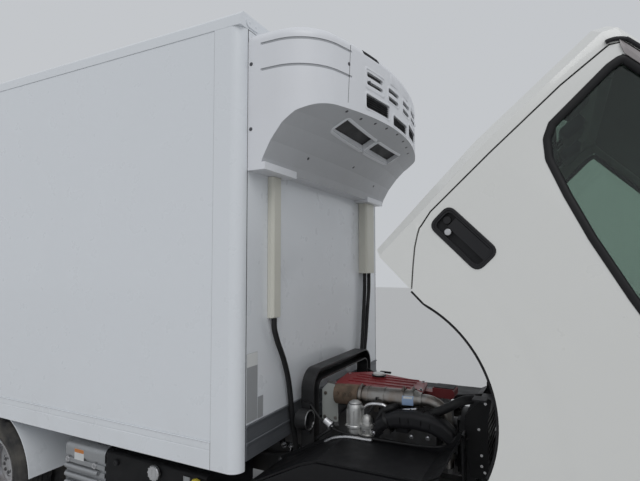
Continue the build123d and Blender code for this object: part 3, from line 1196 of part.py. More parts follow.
DOOR_INNER = CAB_INNER_HALF
for name, side in SIDES.items():
    ys = span(side, 600, 950)
    with BuildPart() as door:
        add(outer_form)
        add(inner_form, mode=Mode.SUBTRACT)
        arch_cut()
        add(outline_prism(DOOR_SIDE, ys, DOOR_GAP), mode=Mode.INTERSECT)
        add(outline_prism(WINDOW_SIDE, ys), mode=Mode.SUBTRACT)
        handle_plate(0, span(side, CAB_HALF - HANDLE_DEEP, 900), mode=Mode.SUBTRACT)
        block((front(-200), front(220)), span(side, DOOR_INNER - 32, DOOR_INNER), (1170, 1215))
        block((front(40), front(520)), span(side, DOOR_INNER - 18, DOOR_INNER), (PLATFORM_TOP + 15, 1130))
    save(door, f"cab_door_{name}", TILTED)
    with BuildPart() as handle:
        cup_floor = CAB_HALF - HANDLE_DEEP
        handle_plate(SEAT_GAP, span(side, cup_floor, CAB_HALF + 1))
        handle_plate(12, span(side, cup_floor + 5, CAB_HALF + 2), mode=Mode.SUBTRACT)
        x, z = front(HANDLE_AT[0]), HANDLE_AT[1]
        block((x - 70, x + HANDLE_LONG / 2 - 8), span(side, CAB_HALF - 8, CAB_HALF), (z - 8, z + 36))
        rod((x - 88, side * (cup_floor + 4), z + 8), (x - 88, side * CAB_HALF, z + 8), 14)
    save(handle, f"door_handle_{name}", TILTED)
    with BuildPart() as pane:
        add(glass_outer)
        add(glass_inner, mode=Mode.SUBTRACT)
        add(outline_prism(WINDOW_SIDE, ys), mode=Mode.INTERSECT)
    save(pane, f"door_glass_{name}", TILTED)

with BuildPart() as cab_glass:
    add(glass_outer)
    add(glass_inner, mode=Mode.SUBTRACT)
    with BuildPart(mode=Mode.PRIVATE) as openings:
        add(front_prism(SCREEN_FRONT, (front(500), front(1100))))
        add(front_prism(BACK_GLASS, (front(-600), front(-300))))
    add(openings.part, mode=Mode.INTERSECT)
save(cab_glass, "cab_glass", TILTED)

WHEEL_CENTRE = Vector(front(500), -400, 1335)
COLUMN_TILT = 40
COLUMN_DIR = Vector(sin(radians(COLUMN_TILT)), 0, -cos(radians(COLUMN_TILT)))
HUB_LONG = 60
COLUMN_LONG = 330
with BuildPart() as dashboard:
    add(cabin_space.part)
    dash_side = [
        (640, 1040), (760, 1000), (1000, 1000), (1000, 1180), (900, 1290), (740, 1290), (668, 1262), (640, 1200),
    ]
    add(outline_prism(dash_side, (-770, 770)), mode=Mode.INTERSECT)
    column_top = WHEEL_CENTRE + COLUMN_DIR * (HUB_LONG + RUNNING)
    rod(column_top, WHEEL_CENTRE + COLUMN_DIR * COLUMN_LONG, 34)
    binnacle = [(700, 1260), (720, 1338), (760, 1344), (840, 1285), (840, 1260)]
    add(outline_prism(binnacle, (-540, -260)))
    centre_stack = [(640, 1060), (610, 1090), (620, 1240), (668, 1262), (700, 1060)]
    add(outline_prism(centre_stack, (-160, 160)))
save(dashboard, "dashboard", TILTED)

WHEEL_RIM_R = 182
WHEEL_GRIP_R = 13
with BuildPart() as steering_wheel:
    rim_plane = Plane(origin=WHEEL_CENTRE, z_dir=-COLUMN_DIR)
    with BuildSketch(rim_plane) as spokes:
        Rectangle(2 * WHEEL_RIM_R, 34)
        with Locations((WHEEL_RIM_R / 2, 0), (-WHEEL_RIM_R / 2, 0)):
            Rectangle(WHEEL_RIM_R, 30)
        Circle(58)
    extrude(spokes.sketch, amount=6, both=True)
    across = Vector(0, 1, 0)
    with BuildSketch(Plane(origin=WHEEL_CENTRE, x_dir=across, z_dir=across.cross(COLUMN_DIR))) as grip:
        with Locations((WHEEL_RIM_R, 0)):
            Circle(WHEEL_GRIP_R)
    revolve(grip.sketch, axis=Axis(WHEEL_CENTRE, COLUMN_DIR))
    with BuildSketch(rim_plane) as hub:
        Circle(26)
    extrude(hub.sketch, amount=-HUB_LONG)
save(steering_wheel, "steering_wheel", TILTED)

# seat's range of y; the middle one is narrower
SEATS = [(-735, -280), (-230, 230), (280, 735)]
CUSHION_SIDE = [(-330, 0), (170, 0), (185, 40), (150, 85), (-60, 75), (-330, 62)]
BACK_SIDE = [(-386, 60), (-300, 60), (-262, 150), (-290, 330), (-318, 555), (-350, 590), (-386, 590)]
HEADREST_SIDE = [(-378, 610), (-310, 610), (-306, 700), (-322, 740), (-366, 740), (-376, 720)]
with BuildPart() as seats:
    for ys in SEATS:
        for shape, inset in ((CUSHION_SIDE, 0), (BACK_SIDE, 12)):
            side_plate([(front(x), TUNNEL_TOP + rise) for x, rise in shape], (ys[0] + inset, ys[1] - inset))
        middle = sum(ys) / 2
        side_plate([(front(x), TUNNEL_TOP + rise) for x, rise in HEADREST_SIDE], (middle - 125, middle + 125))
        block((front(-352), front(-336)), (middle - 50, middle + 50), (TUNNEL_TOP + 585, TUNNEL_TOP + 612))
    for side in SIDES.values():
        block((front(-330), front(170)), span(side, TUNNEL_HALF + 20, 735), (PLATFORM_TOP, TUNNEL_TOP))
save(seats, "seats", TILTED)

with BuildPart() as mirrors:
    for side in SIDES.values():
        housing = [(886, 1345), (925, 1365), (925, 1625), (886, 1645)]
        side_plate([(front(x), z) for x, z in housing], span(side, 880, 1030))
        rod((front(905), side * 910, 1190), (front(905), side * 910, 1350), 10)
        rod((front(905), side * 918, 1196), (front(850), side * 800, 1180), 10)
        rod((front(905), side * 890, 1500), (front(800), side * 780, 1500), 8)
    add(outer_form, mode=Mode.SUBTRACT)
save(mirrors, "mirrors", TILTED)
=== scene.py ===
import bpy
import bmesh
import json
import math
from math import cos, pi, radians, sin
from mathutils import Matrix, Vector
from mathutils.bvhtree import BVHTree


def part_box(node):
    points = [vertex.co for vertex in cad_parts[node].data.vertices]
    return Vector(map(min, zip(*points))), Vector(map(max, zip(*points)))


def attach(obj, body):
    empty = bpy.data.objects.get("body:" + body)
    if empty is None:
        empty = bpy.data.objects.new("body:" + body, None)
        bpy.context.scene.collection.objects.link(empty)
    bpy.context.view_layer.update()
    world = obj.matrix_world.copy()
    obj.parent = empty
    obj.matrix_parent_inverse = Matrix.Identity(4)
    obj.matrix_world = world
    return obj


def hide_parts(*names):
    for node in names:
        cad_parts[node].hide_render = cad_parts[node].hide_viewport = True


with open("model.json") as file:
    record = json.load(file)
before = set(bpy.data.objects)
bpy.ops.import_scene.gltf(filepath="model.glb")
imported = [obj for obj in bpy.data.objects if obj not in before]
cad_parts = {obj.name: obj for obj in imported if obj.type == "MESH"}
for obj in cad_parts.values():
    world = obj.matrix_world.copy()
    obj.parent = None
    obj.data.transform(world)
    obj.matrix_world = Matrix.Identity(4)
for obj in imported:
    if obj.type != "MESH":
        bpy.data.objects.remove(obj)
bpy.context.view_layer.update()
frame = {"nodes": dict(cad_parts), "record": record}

# Places on the truck. Sizes and places are in millimetres, apart from those of the frame and of Blender.
MM = 0.001
BOX_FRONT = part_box("box_front_wall")[1].x / MM
BOX_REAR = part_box("box_rear_frame")[1].x / MM - 80
BOX_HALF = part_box("box_side_walls")[1].y / MM
BOX_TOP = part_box("box_rails")[1].z / MM
BOX_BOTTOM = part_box("box_rails")[0].z / MM
FLOOR_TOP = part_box("box_floor")[1].z / MM
FRONT_AXLE = BOX_FRONT + 580
REAR_AXLE = FRONT_AXLE - 2525
TYRE_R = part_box("tyre_front_left")[1].z / MM / 2
CAB_HALF = 845
PIVOT = Vector((FRONT_AXLE + 863, 0, 700))
TILT_WAY = Matrix.Rotation(radians(45), 4, "Y")
TILT = Matrix.Translation(PIVOT) @ TILT_WAY @ Matrix.Translation(-PIVOT)
STILL = Matrix.Identity(4)
SIDES = {"left": 1, "right": -1}
FORWARD, REARWARD = Vector((1, 0, 0)), Vector((-1, 0, 0))
LEFTWARD, RIGHTWARD = Vector((0, 1, 0)), Vector((0, -1, 0))
UP, DOWN = Vector((0, 0, 1)), Vector((0, 0, -1))


def ahead(x):
    """A length measured forward from the box's front wall."""
    return BOX_FRONT + x


def front(x):
    """A length measured forward from the front axle, with the cab down."""
    return FRONT_AXLE + x


# Materials: each look is built from its shader's sockets and a few noise layers
looks = {}


class Look:
    """A material under construction: its tree, its shader and its object coordinates."""

    def __init__(self, name, colour, roughness, **sockets):
        material = looks[name] = bpy.data.materials.new(name)
        material.use_nodes = True
        self.tree = material.node_tree
        self.shader = self.tree.nodes["Principled BSDF"]
        self.place = self.tree.nodes.new("ShaderNodeTexCoord").outputs["Object"]
        self.tint = (*colour, 1)
        for socket, value in {"base_color": self.tint, "roughness": roughness, **sockets}.items():
            self.shader.inputs[socket.replace("_", " ").title().replace("Ior", "IOR")].default_value = value

    def node(self, kind, inputs, **settings):
        made = self.tree.nodes.new(kind)
        for key, value in settings.items():
            setattr(made, key, value)
        for key, value in inputs.items():
            if isinstance(value, bpy.types.NodeSocket):
                self.tree.links.new(value, made.inputs[key])
            else:
                made.inputs[key].default_value = value
        return made

    def noise(self, scale, stretch=(1, 1, 1), detail=3.0):
        """A noise field over the object, finer for a larger scale."""
        mapping = self.node("ShaderNodeMapping", {"Vector": self.place, "Scale": stretch})
        inputs = {"Vector": mapping.outputs[0], "Scale": scale, "Detail": detail}
        return self.node("ShaderNodeTexNoise", inputs).outputs["Fac"]

    def wave(self, scale, direction, **inputs):
        """Ribs or threads across a direction."""
        inputs = {"Vector": self.place, "Scale": scale, **inputs}
        return self.node("ShaderNodeTexWave", inputs, bands_direction=direction).outputs["Fac"]

    def band(self, value, low, high, out_low=0.0, out_high=1.0):
        """Stretch a value between two limits."""
        inputs = {"Value": value, "From Min": low, "From Max": high, "To Min": out_low, "To Max": out_high}
        return self.node("ShaderNodeMapRange", inputs).outputs[0]

    def times(self, a, b):
        return self.node("ShaderNodeMath", {0: a, 1: b}, operation="MULTIPLY").outputs[0]

    def stain(self, amount, colour):
        """Mix another colour over the surface by an amount from 0 to 1."""
        inputs = {"Factor": amount, "A": self.tint, "B": (*colour, 1)}
        self.tint = self.node("ShaderNodeMix", inputs, data_type="RGBA").outputs["Result"]
        self.tree.links.new(self.tint, self.shader.inputs["Base Color"])

    def shade(self, amount, depth):
        """Darken or lighten the look's own colour by an amount from 0 to 1."""
        colour = self.shader.inputs["Base Color"].default_value
        self.stain(amount, [depth * c for c in colour[:3]])

    def rough(self, value):
        self.tree.links.new(value, self.shader.inputs["Roughness"])

    def bump(self, height, strength, distance):
        """Relief, its distance in metres."""
        inputs = {"Height": height, "Strength": strength, "Distance": distance}
        self.tree.links.new(self.node("ShaderNodeBump", inputs).outputs[0], self.shader.inputs["Normal"])


DUST = (0.30, 0.27, 0.22)
ROAD_DUST = 0.15


def paint(name, colour, rough, coat):
    """Sprayed paint: faint orange peel, slight colour drift, and road dust low down."""
    look = Look(name, colour, rough, coat_weight=coat, coat_roughness=0.08)
    look.shade(look.band(look.noise(1.7), 0.3, 0.7, 0.0, 0.06), 0.82)
    patches = look.band(look.noise(5, detail=6), 0.45, 0.75)
    height = look.node("ShaderNodeSeparateXYZ", {"Vector": look.place}).outputs["Z"]
    low_down = look.band(height, 0.3, 1.1, 1.0, 0.0)
    look.stain(look.times(look.times(patches, low_down), ROAD_DUST), DUST)
    look.rough(look.band(look.noise(9, detail=5), 0.3, 0.8, rough - 0.03, rough + 0.12))
    look.bump(look.noise(420, detail=1), 0.06, 0.0006)


def plastic(name, colour, rough, grain=900, dust=0.10, depth=0.0004, **sockets):
    """Moulded plastic with a fine grain and a film of dust."""
    look = Look(name, colour, rough, **sockets)
    look.stain(look.band(look.noise(4, detail=6), 0.45, 0.8, 0.0, dust), DUST)
    look.rough(look.band(look.noise(14, detail=4), 0.3, 0.7, rough - 0.06, rough + 0.10))
    look.bump(look.noise(grain, detail=2), 0.25, depth)


def rubber(name, colour, rough, dust, **sockets):
    """Dull rubber, greyed by dust in patches."""
    look = Look(name, colour, rough, **sockets)
    look.stain(look.band(look.noise(7, detail=8), 0.4, 0.8, 0.0, dust), DUST)
    look.rough(look.band(look.noise(20), 0.3, 0.7, rough - 0.05, rough + 0.08))
    look.bump(look.noise(260, detail=5), 0.3, 0.0005)


def metal(name, colour, rough, stretch=(1, 1, 1), stain=None, amount=0.5, metallic=1.0, grain=160,
          depth=0.0004):
    """Bare metal with brushed or cast relief and stains."""
    look = Look(name, colour, rough, metallic=metallic)
    if stain:
        look.stain(look.band(look.noise(13, detail=8), 0.42, 0.70, 0.0, amount), stain)
    look.shade(look.band(look.noise(3, detail=4), 0.4, 0.7, 0.0, 0.25), 0.6)
    look.rough(look.band(look.noise(grain / 4, stretch, 5), 0.3, 0.7, rough - 0.08, rough + 0.14))
    look.bump(look.noise(grain, stretch, 4), 0.3, depth)


def cloth(name, colour):
    """Woven seat cloth with crossing threads and a soft sheen."""
    look = Look(name, colour, 0.92, sheen_weight=0.35, sheen_roughness=0.5)
    threads = [look.wave(170, way, **{"Distortion": 1.2, "Detail Scale": 3.0}) for way in ("X", "Z")]
    weave = look.times(*threads)
    look.shade(look.band(weave, 0.0, 0.8, 0.35, 0.0), 1.6)
    look.shade(look.band(look.noise(5), 0.4, 0.7, 0.0, 0.3), 0.6)
    look.bump(weave, 0.5, 0.0008)


def glass(name, colour, rough=0.02):
    """Clear or tinted glass."""
    look = Look(name, colour, rough, transmission_weight=1.0, ior=1.45)
    look.rough(look.band(look.noise(6), 0.4, 0.8, rough, rough + 0.03))


def lens(name, colour):
    """A moulded lamp lens with fine vertical ribs."""
    look = Look(name, colour, 0.12, coat_weight=0.6, transmission_weight=0.35, ior=1.49)
    look.bump(look.wave(60, "Y", Distortion=0.0), 0.35, 0.001)
    look.stain(look.band(look.noise(5), 0.4, 0.8, 0.0, 0.1), DUST)


paint("chassis_black", (0.012, 0.012, 0.013), 0.46, 0.0)
paint("cab_white", (0.77, 0.77, 0.745), 0.30, 0.6)
paint("box_white", (0.76, 0.785, 0.815), 0.28, 0.5)
glass("lamp_glass", (0.93, 0.95, 0.97), 0.03)
glass("glass", (0.42, 0.52, 0.46))
lens("lamp_red", (0.42, 0.01, 0.01))
lens("amber", (0.75, 0.22, 0.01))
lens("clear_lens", (0.80, 0.80, 0.78))
metal("engine_grey", (0.20, 0.20, 0.205), 0.55, stain=(0.10, 0.08, 0.06), metallic=0.6, depth=0.0012)
metal("exhaust_metal", (0.34, 0.33, 0.315), 0.38, stain=(0.20, 0.12, 0.07), amount=0.6)
metal("band_aluminium", (0.165, 0.175, 0.19), 0.45, (1, 0.02, 1), metallic=0.5, grain=400)
metal("rim_silver", (0.50, 0.50, 0.51), 0.38, stain=(0.16, 0.12, 0.09), metallic=0.7, amount=0.35)
metal("bar_steel", (0.62, 0.62, 0.63), 0.28, (1, 1, 0.03), grain=500, depth=0.0002)
metal("chrome", (0.78, 0.78, 0.80), 0.14, stain=(0.35, 0.33, 0.30), amount=0.2)
metal("cast_light", (0.66, 0.66, 0.65), 0.46, stain=(0.2, 0.18, 0.15), depth=0.0012)
metal("rust", (0.105, 0.078, 0.056), 0.75, stain=(0.30, 0.20, 0.14), amount=0.8, metallic=0.3, depth=0.0015)
metal("shield_silver", (0.42, 0.43, 0.44), 0.34, (1, 1, 0.05), metallic=0.85, grain=300, depth=0.0002)
metal("screw_dark", (0.10, 0.10, 0.11), 0.45, metallic=0.5)
metal("mirror_face", (0.85, 0.86, 0.87), 0.03, grain=20, depth=0.00001)
plastic("engine_red", (0.28, 0.030, 0.036), 0.42, 300, 0.26)
plastic("unit_white", (0.76, 0.77, 0.80), 0.34, 700, 0.04, 0.0003)
# Painted shade: the grey laid over the unit's underside
plastic("unit_grey", (0.52, 0.53, 0.55), 0.5, 700, 0.06, 0.0003)
# Painted shade: the grey of the strips laid in the unit's grooves
plastic("unit_under", (0.40, 0.41, 0.43), 0.42, 700, 0.05, 0.0003)
plastic("duct_beige", (0.64, 0.63, 0.56), 0.5, 500, 0.08)
plastic("interior_grey", (0.11, 0.11, 0.12), 0.6, 500, 0.05, 0.0008)
plastic("lining_grey", (0.34, 0.34, 0.33), 0.8, 350, 0.04, 0.0010)
plastic("visor_grey", (0.30, 0.275, 0.275), 0.25, 900, 0.02, 0.0001)
plastic("trim_black", (0.012, 0.012, 0.014), 0.50, 650, 0.02, specular_ior_level=0.35)
plastic("liner_black", (0.006, 0.006, 0.007), 0.5, 260, 0.008, 0.0006, specular_ior_level=0.25)
plastic("shade_dark", (0.006, 0.006, 0.007), 0.7, 200)
plastic("label_blue", (0.30, 0.42, 0.62), 0.4, 200)
plastic("label_grey", (0.34, 0.35, 0.36), 0.45, 200)
plastic("label_white", (0.70, 0.71, 0.70), 0.4, 200)
plastic("label_orange", (0.62, 0.22, 0.05), 0.5, 200)
plastic("cap_yellow", (0.60, 0.50, 0.05), 0.45, 200)
plastic("clip_grey", (0.42, 0.44, 0.42), 0.5, 300)
plastic("cord_grey", (0.30, 0.30, 0.30), 0.5, 200)
rubber("hose_black", (0.011, 0.011, 0.012), 0.5, 0.02, specular_ior_level=0.35)
rubber("rubber_black", (0.009, 0.009, 0.010), 0.45, 0.015, specular_ior_level=0.3)
rubber("tyre", (0.017, 0.017, 0.018), 0.78, 0.35)
cloth("seat_fabric", (0.10, 0.10, 0.12))
slot_of = {row["node"]: row["material_slot"] for row in frame["record"]["subparts"]}
body_of = {node: body for body, nodes in frame["record"]["behaviour"]["bodies"].items() for node in nodes}
frame_slots = {row["slot"] for row in frame["record"]["materials"]}


# Shapes: a shape is a list of points and a list of faces, gathered before it becomes a piece
def turned_rows(base, direction, profile, steps, dent=None):
    """Rows of points round an axis, from distances along it and radii; dent cuts into single points."""
    base, axis = Vector(base), Vector(direction).normalized()
    u = axis.orthogonal().normalized()
    v = axis.cross(u)
    spokes = circle(steps, 1, u, v)
    rows = []
    for number, (along, r) in enumerate(profile):
        cuts = [dent(number, i) if dent else 0 for i in range(steps)]
        rows.append([base + axis * along + spoke * (r - cut) for spoke, cut in zip(spokes, cuts)])
    return rows


def circle(count, radius, a, b, start=0.0):
    """Places round a centre in the plane of two directions, started by a share of a step."""
    turns = [2 * pi * (i + start) / count for i in range(count)]
    return [(a * cos(t) + b * sin(t)) * radius for t in turns]


class Shape:
    """Points and faces of one piece."""

    def __init__(self):
        self.points = []
        self.faces = []

    def grid(self, rows, around=False, ends=False):
        """A skin through rows of points; around joins each row's ends, ends caps the first and last row."""
        start = len(self.points)
        wide = len(rows[0])
        self.points += [Vector(p) for row in rows for p in row]
        for a in range(start, start + (len(rows) - 1) * wide, wide):
            b = a + wide
            for c in range(wide if around else wide - 1):
                n = (c + 1) % wide
                self.faces.append((a + c, a + n, b + n, b + c))
        if ends:
            self.faces.append(tuple(start + c for c in reversed(range(wide))))
            self.cap(wide)
        return self

    def cap(self, count):
        """Close the last row of points, of the given count, with a face."""
        self.faces.append(tuple(range(len(self.points) - count, len(self.points))))
        return self

    def block(self, low, high):
        """A plain box between two corners."""
        (x0, y0, z0), (x1, y1, z1) = low, high
        levels = [[(x0, y0, z), (x1, y0, z), (x1, y1, z), (x0, y1, z)] for z in (z0, z1)]
        return self.grid(levels, True, True)

    def turned(self, base, direction, profile, steps=28):
        """A turned form; its profile lists distance along its axis and radius."""
        return self.grid(turned_rows(base, direction, profile, steps), True, True)

    def ring(self, base, direction, loop, steps, dent=None):
        """A turned ring with an open middle; its loop lists distance along its axis and radius."""
        rows = turned_rows(base, direction, loop, steps, dent)
        return self.grid(rows + rows[:1], True)

    def rod(self, start, end, radius, steps=16):
        start, end = Vector(start), Vector(end)
        return self.turned(start, end - start, [(0, radius), ((end - start).length, radius)], steps)

    def bolt(self, base, direction, size):
        """A hexagon head on a washer, named by its width across the flats."""
        self.turned(base, direction, [(0, 0.95 * size), (0.14 * size, 0.95 * size)], 14)
        head = [(0.14 * size, 0.56 * size), (0.68 * size, 0.56 * size), (0.76 * size, 0.46 * size)]
        return self.turned(base, direction, head, 6)

    def screw(self, base, direction, radius, proud=2.4):
        """A low screw head."""
        head = [(-2, radius), (proud - 1.6, radius), (proud, 6), (proud, 1)]
        return self.turned(base, direction, head, 14)

    def pipe(self, points, radius, steps=12, smooth=6):
        """A round pipe along a smooth line through its points."""
        line = curve(points, smooth)
        normal = None
        rows = []
        for i, place in enumerate(line):
            along = line[min(i + 1, len(line) - 1)] - line[max(i - 1, 0)]
            along.normalize()
            normal = along.orthogonal() if normal is None else normal - along * normal.dot(along)
            normal.normalize()
            rows.append([place + spot for spot in circle(steps, radius, normal, along.cross(normal))])
        return self.grid(rows, True, True)

    def plate(self, outline, axis, low, high):
        """A plate with a closed outline in the plane across an axis, between two values along it."""
        def at(a, b, c):
            return {"x": (c, a, b), "y": (a, c, b), "z": (a, b, c)}[axis]
        return self.grid([[at(a, b, c) for a, b in outline] for c in (low, high)], True, True)


def curve(points, smooth):
    """Points along a smooth line that passes through the given ones."""
    points = [Vector(p) for p in points]
    if len(points) < 3 or smooth < 2:
        return points
    line = []
    for i in range(len(points) - 1):
        p0 = points[max(i - 1, 0)]
        p1, p2 = points[i], points[i + 1]
        p3 = points[min(i + 2, len(points) - 1)]
        for k in range(smooth):
            t = k / smooth
            line.append(0.5 * (2 * p1 + (p2 - p0) * t + (2 * p0 - 5 * p1 + 4 * p2 - p3) * t * t
                               + (3 * p1 - p0 - 3 * p2 + p3) * t ** 3))
    return line + [points[-1]]


def rounded(points, radius, steps=5):
    """A closed outline with its corners rounded; radius may be one value or one for each corner."""
    radii = radius if isinstance(radius, list) else [radius] * len(points)
    points = [Vector(p) for p in points]
    outline = []
    for i, place in enumerate(points):
        before = points[i - 1] - place
        after = points[(i + 1) % len(points)] - place
        reach = min(radii[i] / math.tan(before.angle(after) / 2), 0.48 * before.length, 0.48 * after.length)
        start, end = place + before.normalized() * reach, place + after.normalized() * reach
        for t in (k / steps for k in range(steps + 1)):
            outline.append(tuple((1 - t) ** 2 * start + 2 * t * (1 - t) * place + t * t * end))
    return outline


def rectangle(a0, a1, b0, b1, radius, steps=5):
    return rounded([(a0, b0), (a1, b0), (a1, b1), (a0, b1)], radius, steps)


def inset(outline, by, closed=True):
    """An outline drawn in by a distance, point for point."""
    points = [Vector(p) for p in outline]
    turn = sum(a.x * b.y - b.x * a.y for a, b in zip(points, points[1:] + points[:1]))
    inward = 1 if turn > 0 else -1
    moved = []
    last = len(points) - 1
    for i, place in enumerate(points):
        before = place - points[i - 1] if closed or i else points[1] - place
        after = points[(i + 1) % len(points)] - place if closed or i < last else before
        along = (before.normalized() + after.normalized()).normalized()
        normal = Vector((-along.y, along.x)) * inward
        moved.append(tuple(place + normal * by / max(along.dot(before.normalized()), 0.5)))
    return moved


def divided(outline, step, closed=True):
    """The same outline with more points along its straight runs."""
    points = [Vector(p) for p in outline]
    fine = []
    for start, end in zip(points, points[1:] + (points[:1] if closed else [])):
        count = max(1, round((end - start).length / step))
        fine += [start.lerp(end, k / count) for k in range(count)]
    return [tuple(p) for p in (fine if closed else fine + [points[-1]])]


def band(shape, outline, place, section, closed=True, capped=False):
    """A band along an outline on a surface; its section lists how far in and how far proud."""
    shape.grid([[place(a, b, out) for a, b in inset(outline, by, closed)] for by, out in section], closed)
    return shape.cap(len(outline)) if capped else shape


EDGE_STEPS = 2
KEPT_WEIGHT = 50
FLAT_ANGLE = 0.6


def soften(made, bevel, angle):
    """Round a piece's sharp edges and shade the rest smoothly."""
    if bevel:
        change = made.modifiers.new("edges", "BEVEL")
        change.width = bevel * MM
        change.segments = EDGE_STEPS
        change.limit_method = "ANGLE"
        change.angle_limit = radians(angle)
        change.harden_normals = False
        apply(made)
    for face in made.data.polygons:
        face.use_smooth = True
    made.data.set_sharp_from_angle(angle=radians(angle))
    if bevel:
        flatten = made.modifiers.new("normals", "WEIGHTED_NORMAL")
        flatten.keep_sharp = True
        flatten.weight = KEPT_WEIGHT
        apply(made)


def apply(made):
    """Turn a piece's modifiers into its mesh."""
    graph = bpy.context.evaluated_depsgraph_get()
    mesh = bpy.data.meshes.new_from_object(made.evaluated_get(graph))
    made.modifiers.clear()
    made.data = mesh


def add_object(name, mesh, look, bevel, angle):
    """A new object with a look and softened edges."""
    made = bpy.data.objects.new(name, mesh)
    bpy.context.collection.objects.link(made)
    mesh.materials.clear()
    mesh.materials.append(looks[look])
    soften(made, bevel, angle)
    return made


def piece(name, shape, body, look, slot=None, bevel=0, angle=32, place=STILL, stands_for=()):
    """Make a shape into a named piece that rides on a body."""
    mesh = bpy.data.meshes.new(name)
    mesh.from_pydata([place @ p * MM for p in shape.points], [], shape.faces)
    build = bmesh.new()
    build.from_mesh(mesh)
    bmesh.ops.recalc_face_normals(build, faces=build.faces)
    build.to_mesh(mesh)
    build.free()
    made = add_object(name, mesh, look, bevel, angle)
    slot or (look if look in frame_slots else "trim_black")
    if stands_for:
        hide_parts(*stands_for)
    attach(made, body)
    return made


def fixed(name, shape, look, slot=None, **finish):
    """A piece that stays on the chassis."""
    return piece(name, shape, "chassis", look, slot, **finish)


def tilted(name, shape, look, slot=None, body="cab", **finish):
    """A piece shaped with the cab down, that rides on the tilted cab or one of its doors."""
    return piece(name, shape, body, look, slot, place=TILT, **finish)


def dressed(node, bevel, angle=25, look=None):
    """A copy of a solid with rounded edges and smooth curved faces, in the solid's own place."""
    mesh = frame["nodes"][node].data.copy()
    build = bmesh.new()
    build.from_mesh(mesh)
    bmesh.ops.remove_doubles(build, verts=build.verts, dist=1e-5)
    bmesh.ops.dissolve_limit(build, angle_limit=radians(FLAT_ANGLE), verts=build.verts, edges=build.edges)
    build.to_mesh(mesh)
    build.free()
    made = add_object(f"{node}_skin", mesh, look or slot_of[node], bevel, angle)
    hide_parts(node)
    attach(made, body_of[node])


for name, node in frame["nodes"].items():
    for place in node.material_slots:
        place.material = looks[slot_of[name]]

# Solids whose form is right: each gets rounded edges and smooth curves in its own place
# node, width of the rounding
DRESSED = {
    "frame": 3, "front_bumper": 10, "front_axle": 6, "rear_axle": 4, "engine": 6,
    "head_cover": 4, "exhaust_canister": 2.5, "intake": 12, "gearbox_and_propshaft": 6,
    "radiator": 2, "engine_fan": 3, "wheelhouse_liners": 2, "cab_arch": 4, "muffler": 10,
    "side_boxes": 6, "rear_mudguards": 1.8, "rear_bumper": 6, "tail_lamps": 4,
    "box_rails": 2, "box_rear_frame": 3, "corner_posts": 2, "box_roof": 2, "box_side_walls": 2,
    "box_front_wall": 2, "box_floor": 2, "front_band": 1.2, "cooling_unit": 6, "unit_vents": 2,
    "evaporator": 6, "ducts": 4, "front_grille": 2, "dashboard": 12, "steering_wheel": 3,
    "mirrors": 8, "cab_shell": 5, "leaf_springs": 2,
}
for name in SIDES:
    DRESSED.update({
        f"cab_door_{name}": 5, f"door_handle_{name}": 3, f"box_door_{name}": 3,
        f"lock_bar_{name}": 2, f"knuckle_{name}": 3,
    })
# These three take another finish than their record's slot
OTHER_LOOKS = {"wheelhouse_liners": "liner_black", "side_boxes": "liner_black", "muffler": "shield_silver"}
for node, bevel in DRESSED.items():
    dressed(node, bevel, look=OTHER_LOOKS.get(node))

# Refrigeration unit: its vent frames, louvres, bare name plate, seams and screws
UNIT_LOW, UNIT_HIGH = [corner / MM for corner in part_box("cooling_unit")]
UNIT_Y = (UNIT_LOW.y + UNIT_HIGH.y) / 2
UNIT_HALF = (UNIT_HIGH.y - UNIT_LOW.y) / 2
UNIT_TOP = UNIT_HIGH.z
UNIT_DEEP = UNIT_HIGH.x - BOX_FRONT
UNIT_CORNER = (383, UNIT_HALF - 168)
UNIT_BOW = UNIT_DEEP - UNIT_CORNER[0]
UNIT_FRONT_R = (UNIT_CORNER[1] ** 2 + UNIT_BOW ** 2) / (2 * UNIT_BOW)


def unit_front(y, out=0):
    """A place on the bowed front at a distance y from its middle, and the way it faces."""
    x = UNIT_DEEP - UNIT_FRONT_R + math.sqrt(UNIT_FRONT_R ** 2 - y * y)
    turn = math.asin(y / UNIT_FRONT_R)
    facing = Vector((cos(turn), sin(turn), 0))
    return Vector((ahead(x), UNIT_Y + y, 0)) + facing * out, facing


def front_rows(low, high, drop, foot, section):
    """Rows round a rectangle on the bowed front; a section lists growth, how far proud and corner radius."""
    rows = []
    for grow, out, radius in section:
        bottom, top = UNIT_TOP - foot - grow, UNIT_TOP - drop + grow
        outline = rectangle(low - grow, high + grow, bottom, top, radius, 4)
        rows.append([(*unit_front(y, out)[0].xy, z) for y, z in outline])
    return rows


VENT_FRAME = [(-0.5, -6, 12), (2, 3, 14), (9.6, 3, 21.6), (16, -1, 28)]
NAME_PLATE = [(4, 0, 12), (0, 4, 12), (-3, 5, 12)]
# y from the unit's middle to both ends, drop below its top to both ends
LARGE_VENTS = [(-430, -180, 235, 305), (180, 430, 235, 305), (-125, 125, 265, 320)]
SMALL_VENTS = [(-430, -250, 108, 198), (250, 430, 108, 198), (-190, -40, 132, 200), (40, 190, 132, 200)]
TOP_SLOTS = [(-450, -290, 15, 40), (290, 450, 15, 40)]
LOUVRE_STEP = 12
shape = Shape()
for vent in SMALL_VENTS + LARGE_VENTS:
    shape.grid(front_rows(*vent, VENT_FRAME), True)
fixed("unit_vent_frames", shape, "unit_white")
shape = Shape()
for low, high, drop, foot in LARGE_VENTS + TOP_SLOTS:
    rows = max(2, round((foot - drop) / LOUVRE_STEP))
    line = [unit_front(low + (high - low) * k / 12, -11)[0] for k in range(13)]
    for z in (UNIT_TOP - drop - (foot - drop) * i / rows for i in range(1, rows)):
        shape.grid([[(p.x + dx, p.y, z + dz) for p in line]
                    for dx, dz in ((0, -1.2), (6, -4), (6, -2), (0, 1.2))])
fixed("unit_louvres", shape, "trim_black")
plate_rows = front_rows(-160, 160, 50, 104, NAME_PLATE)
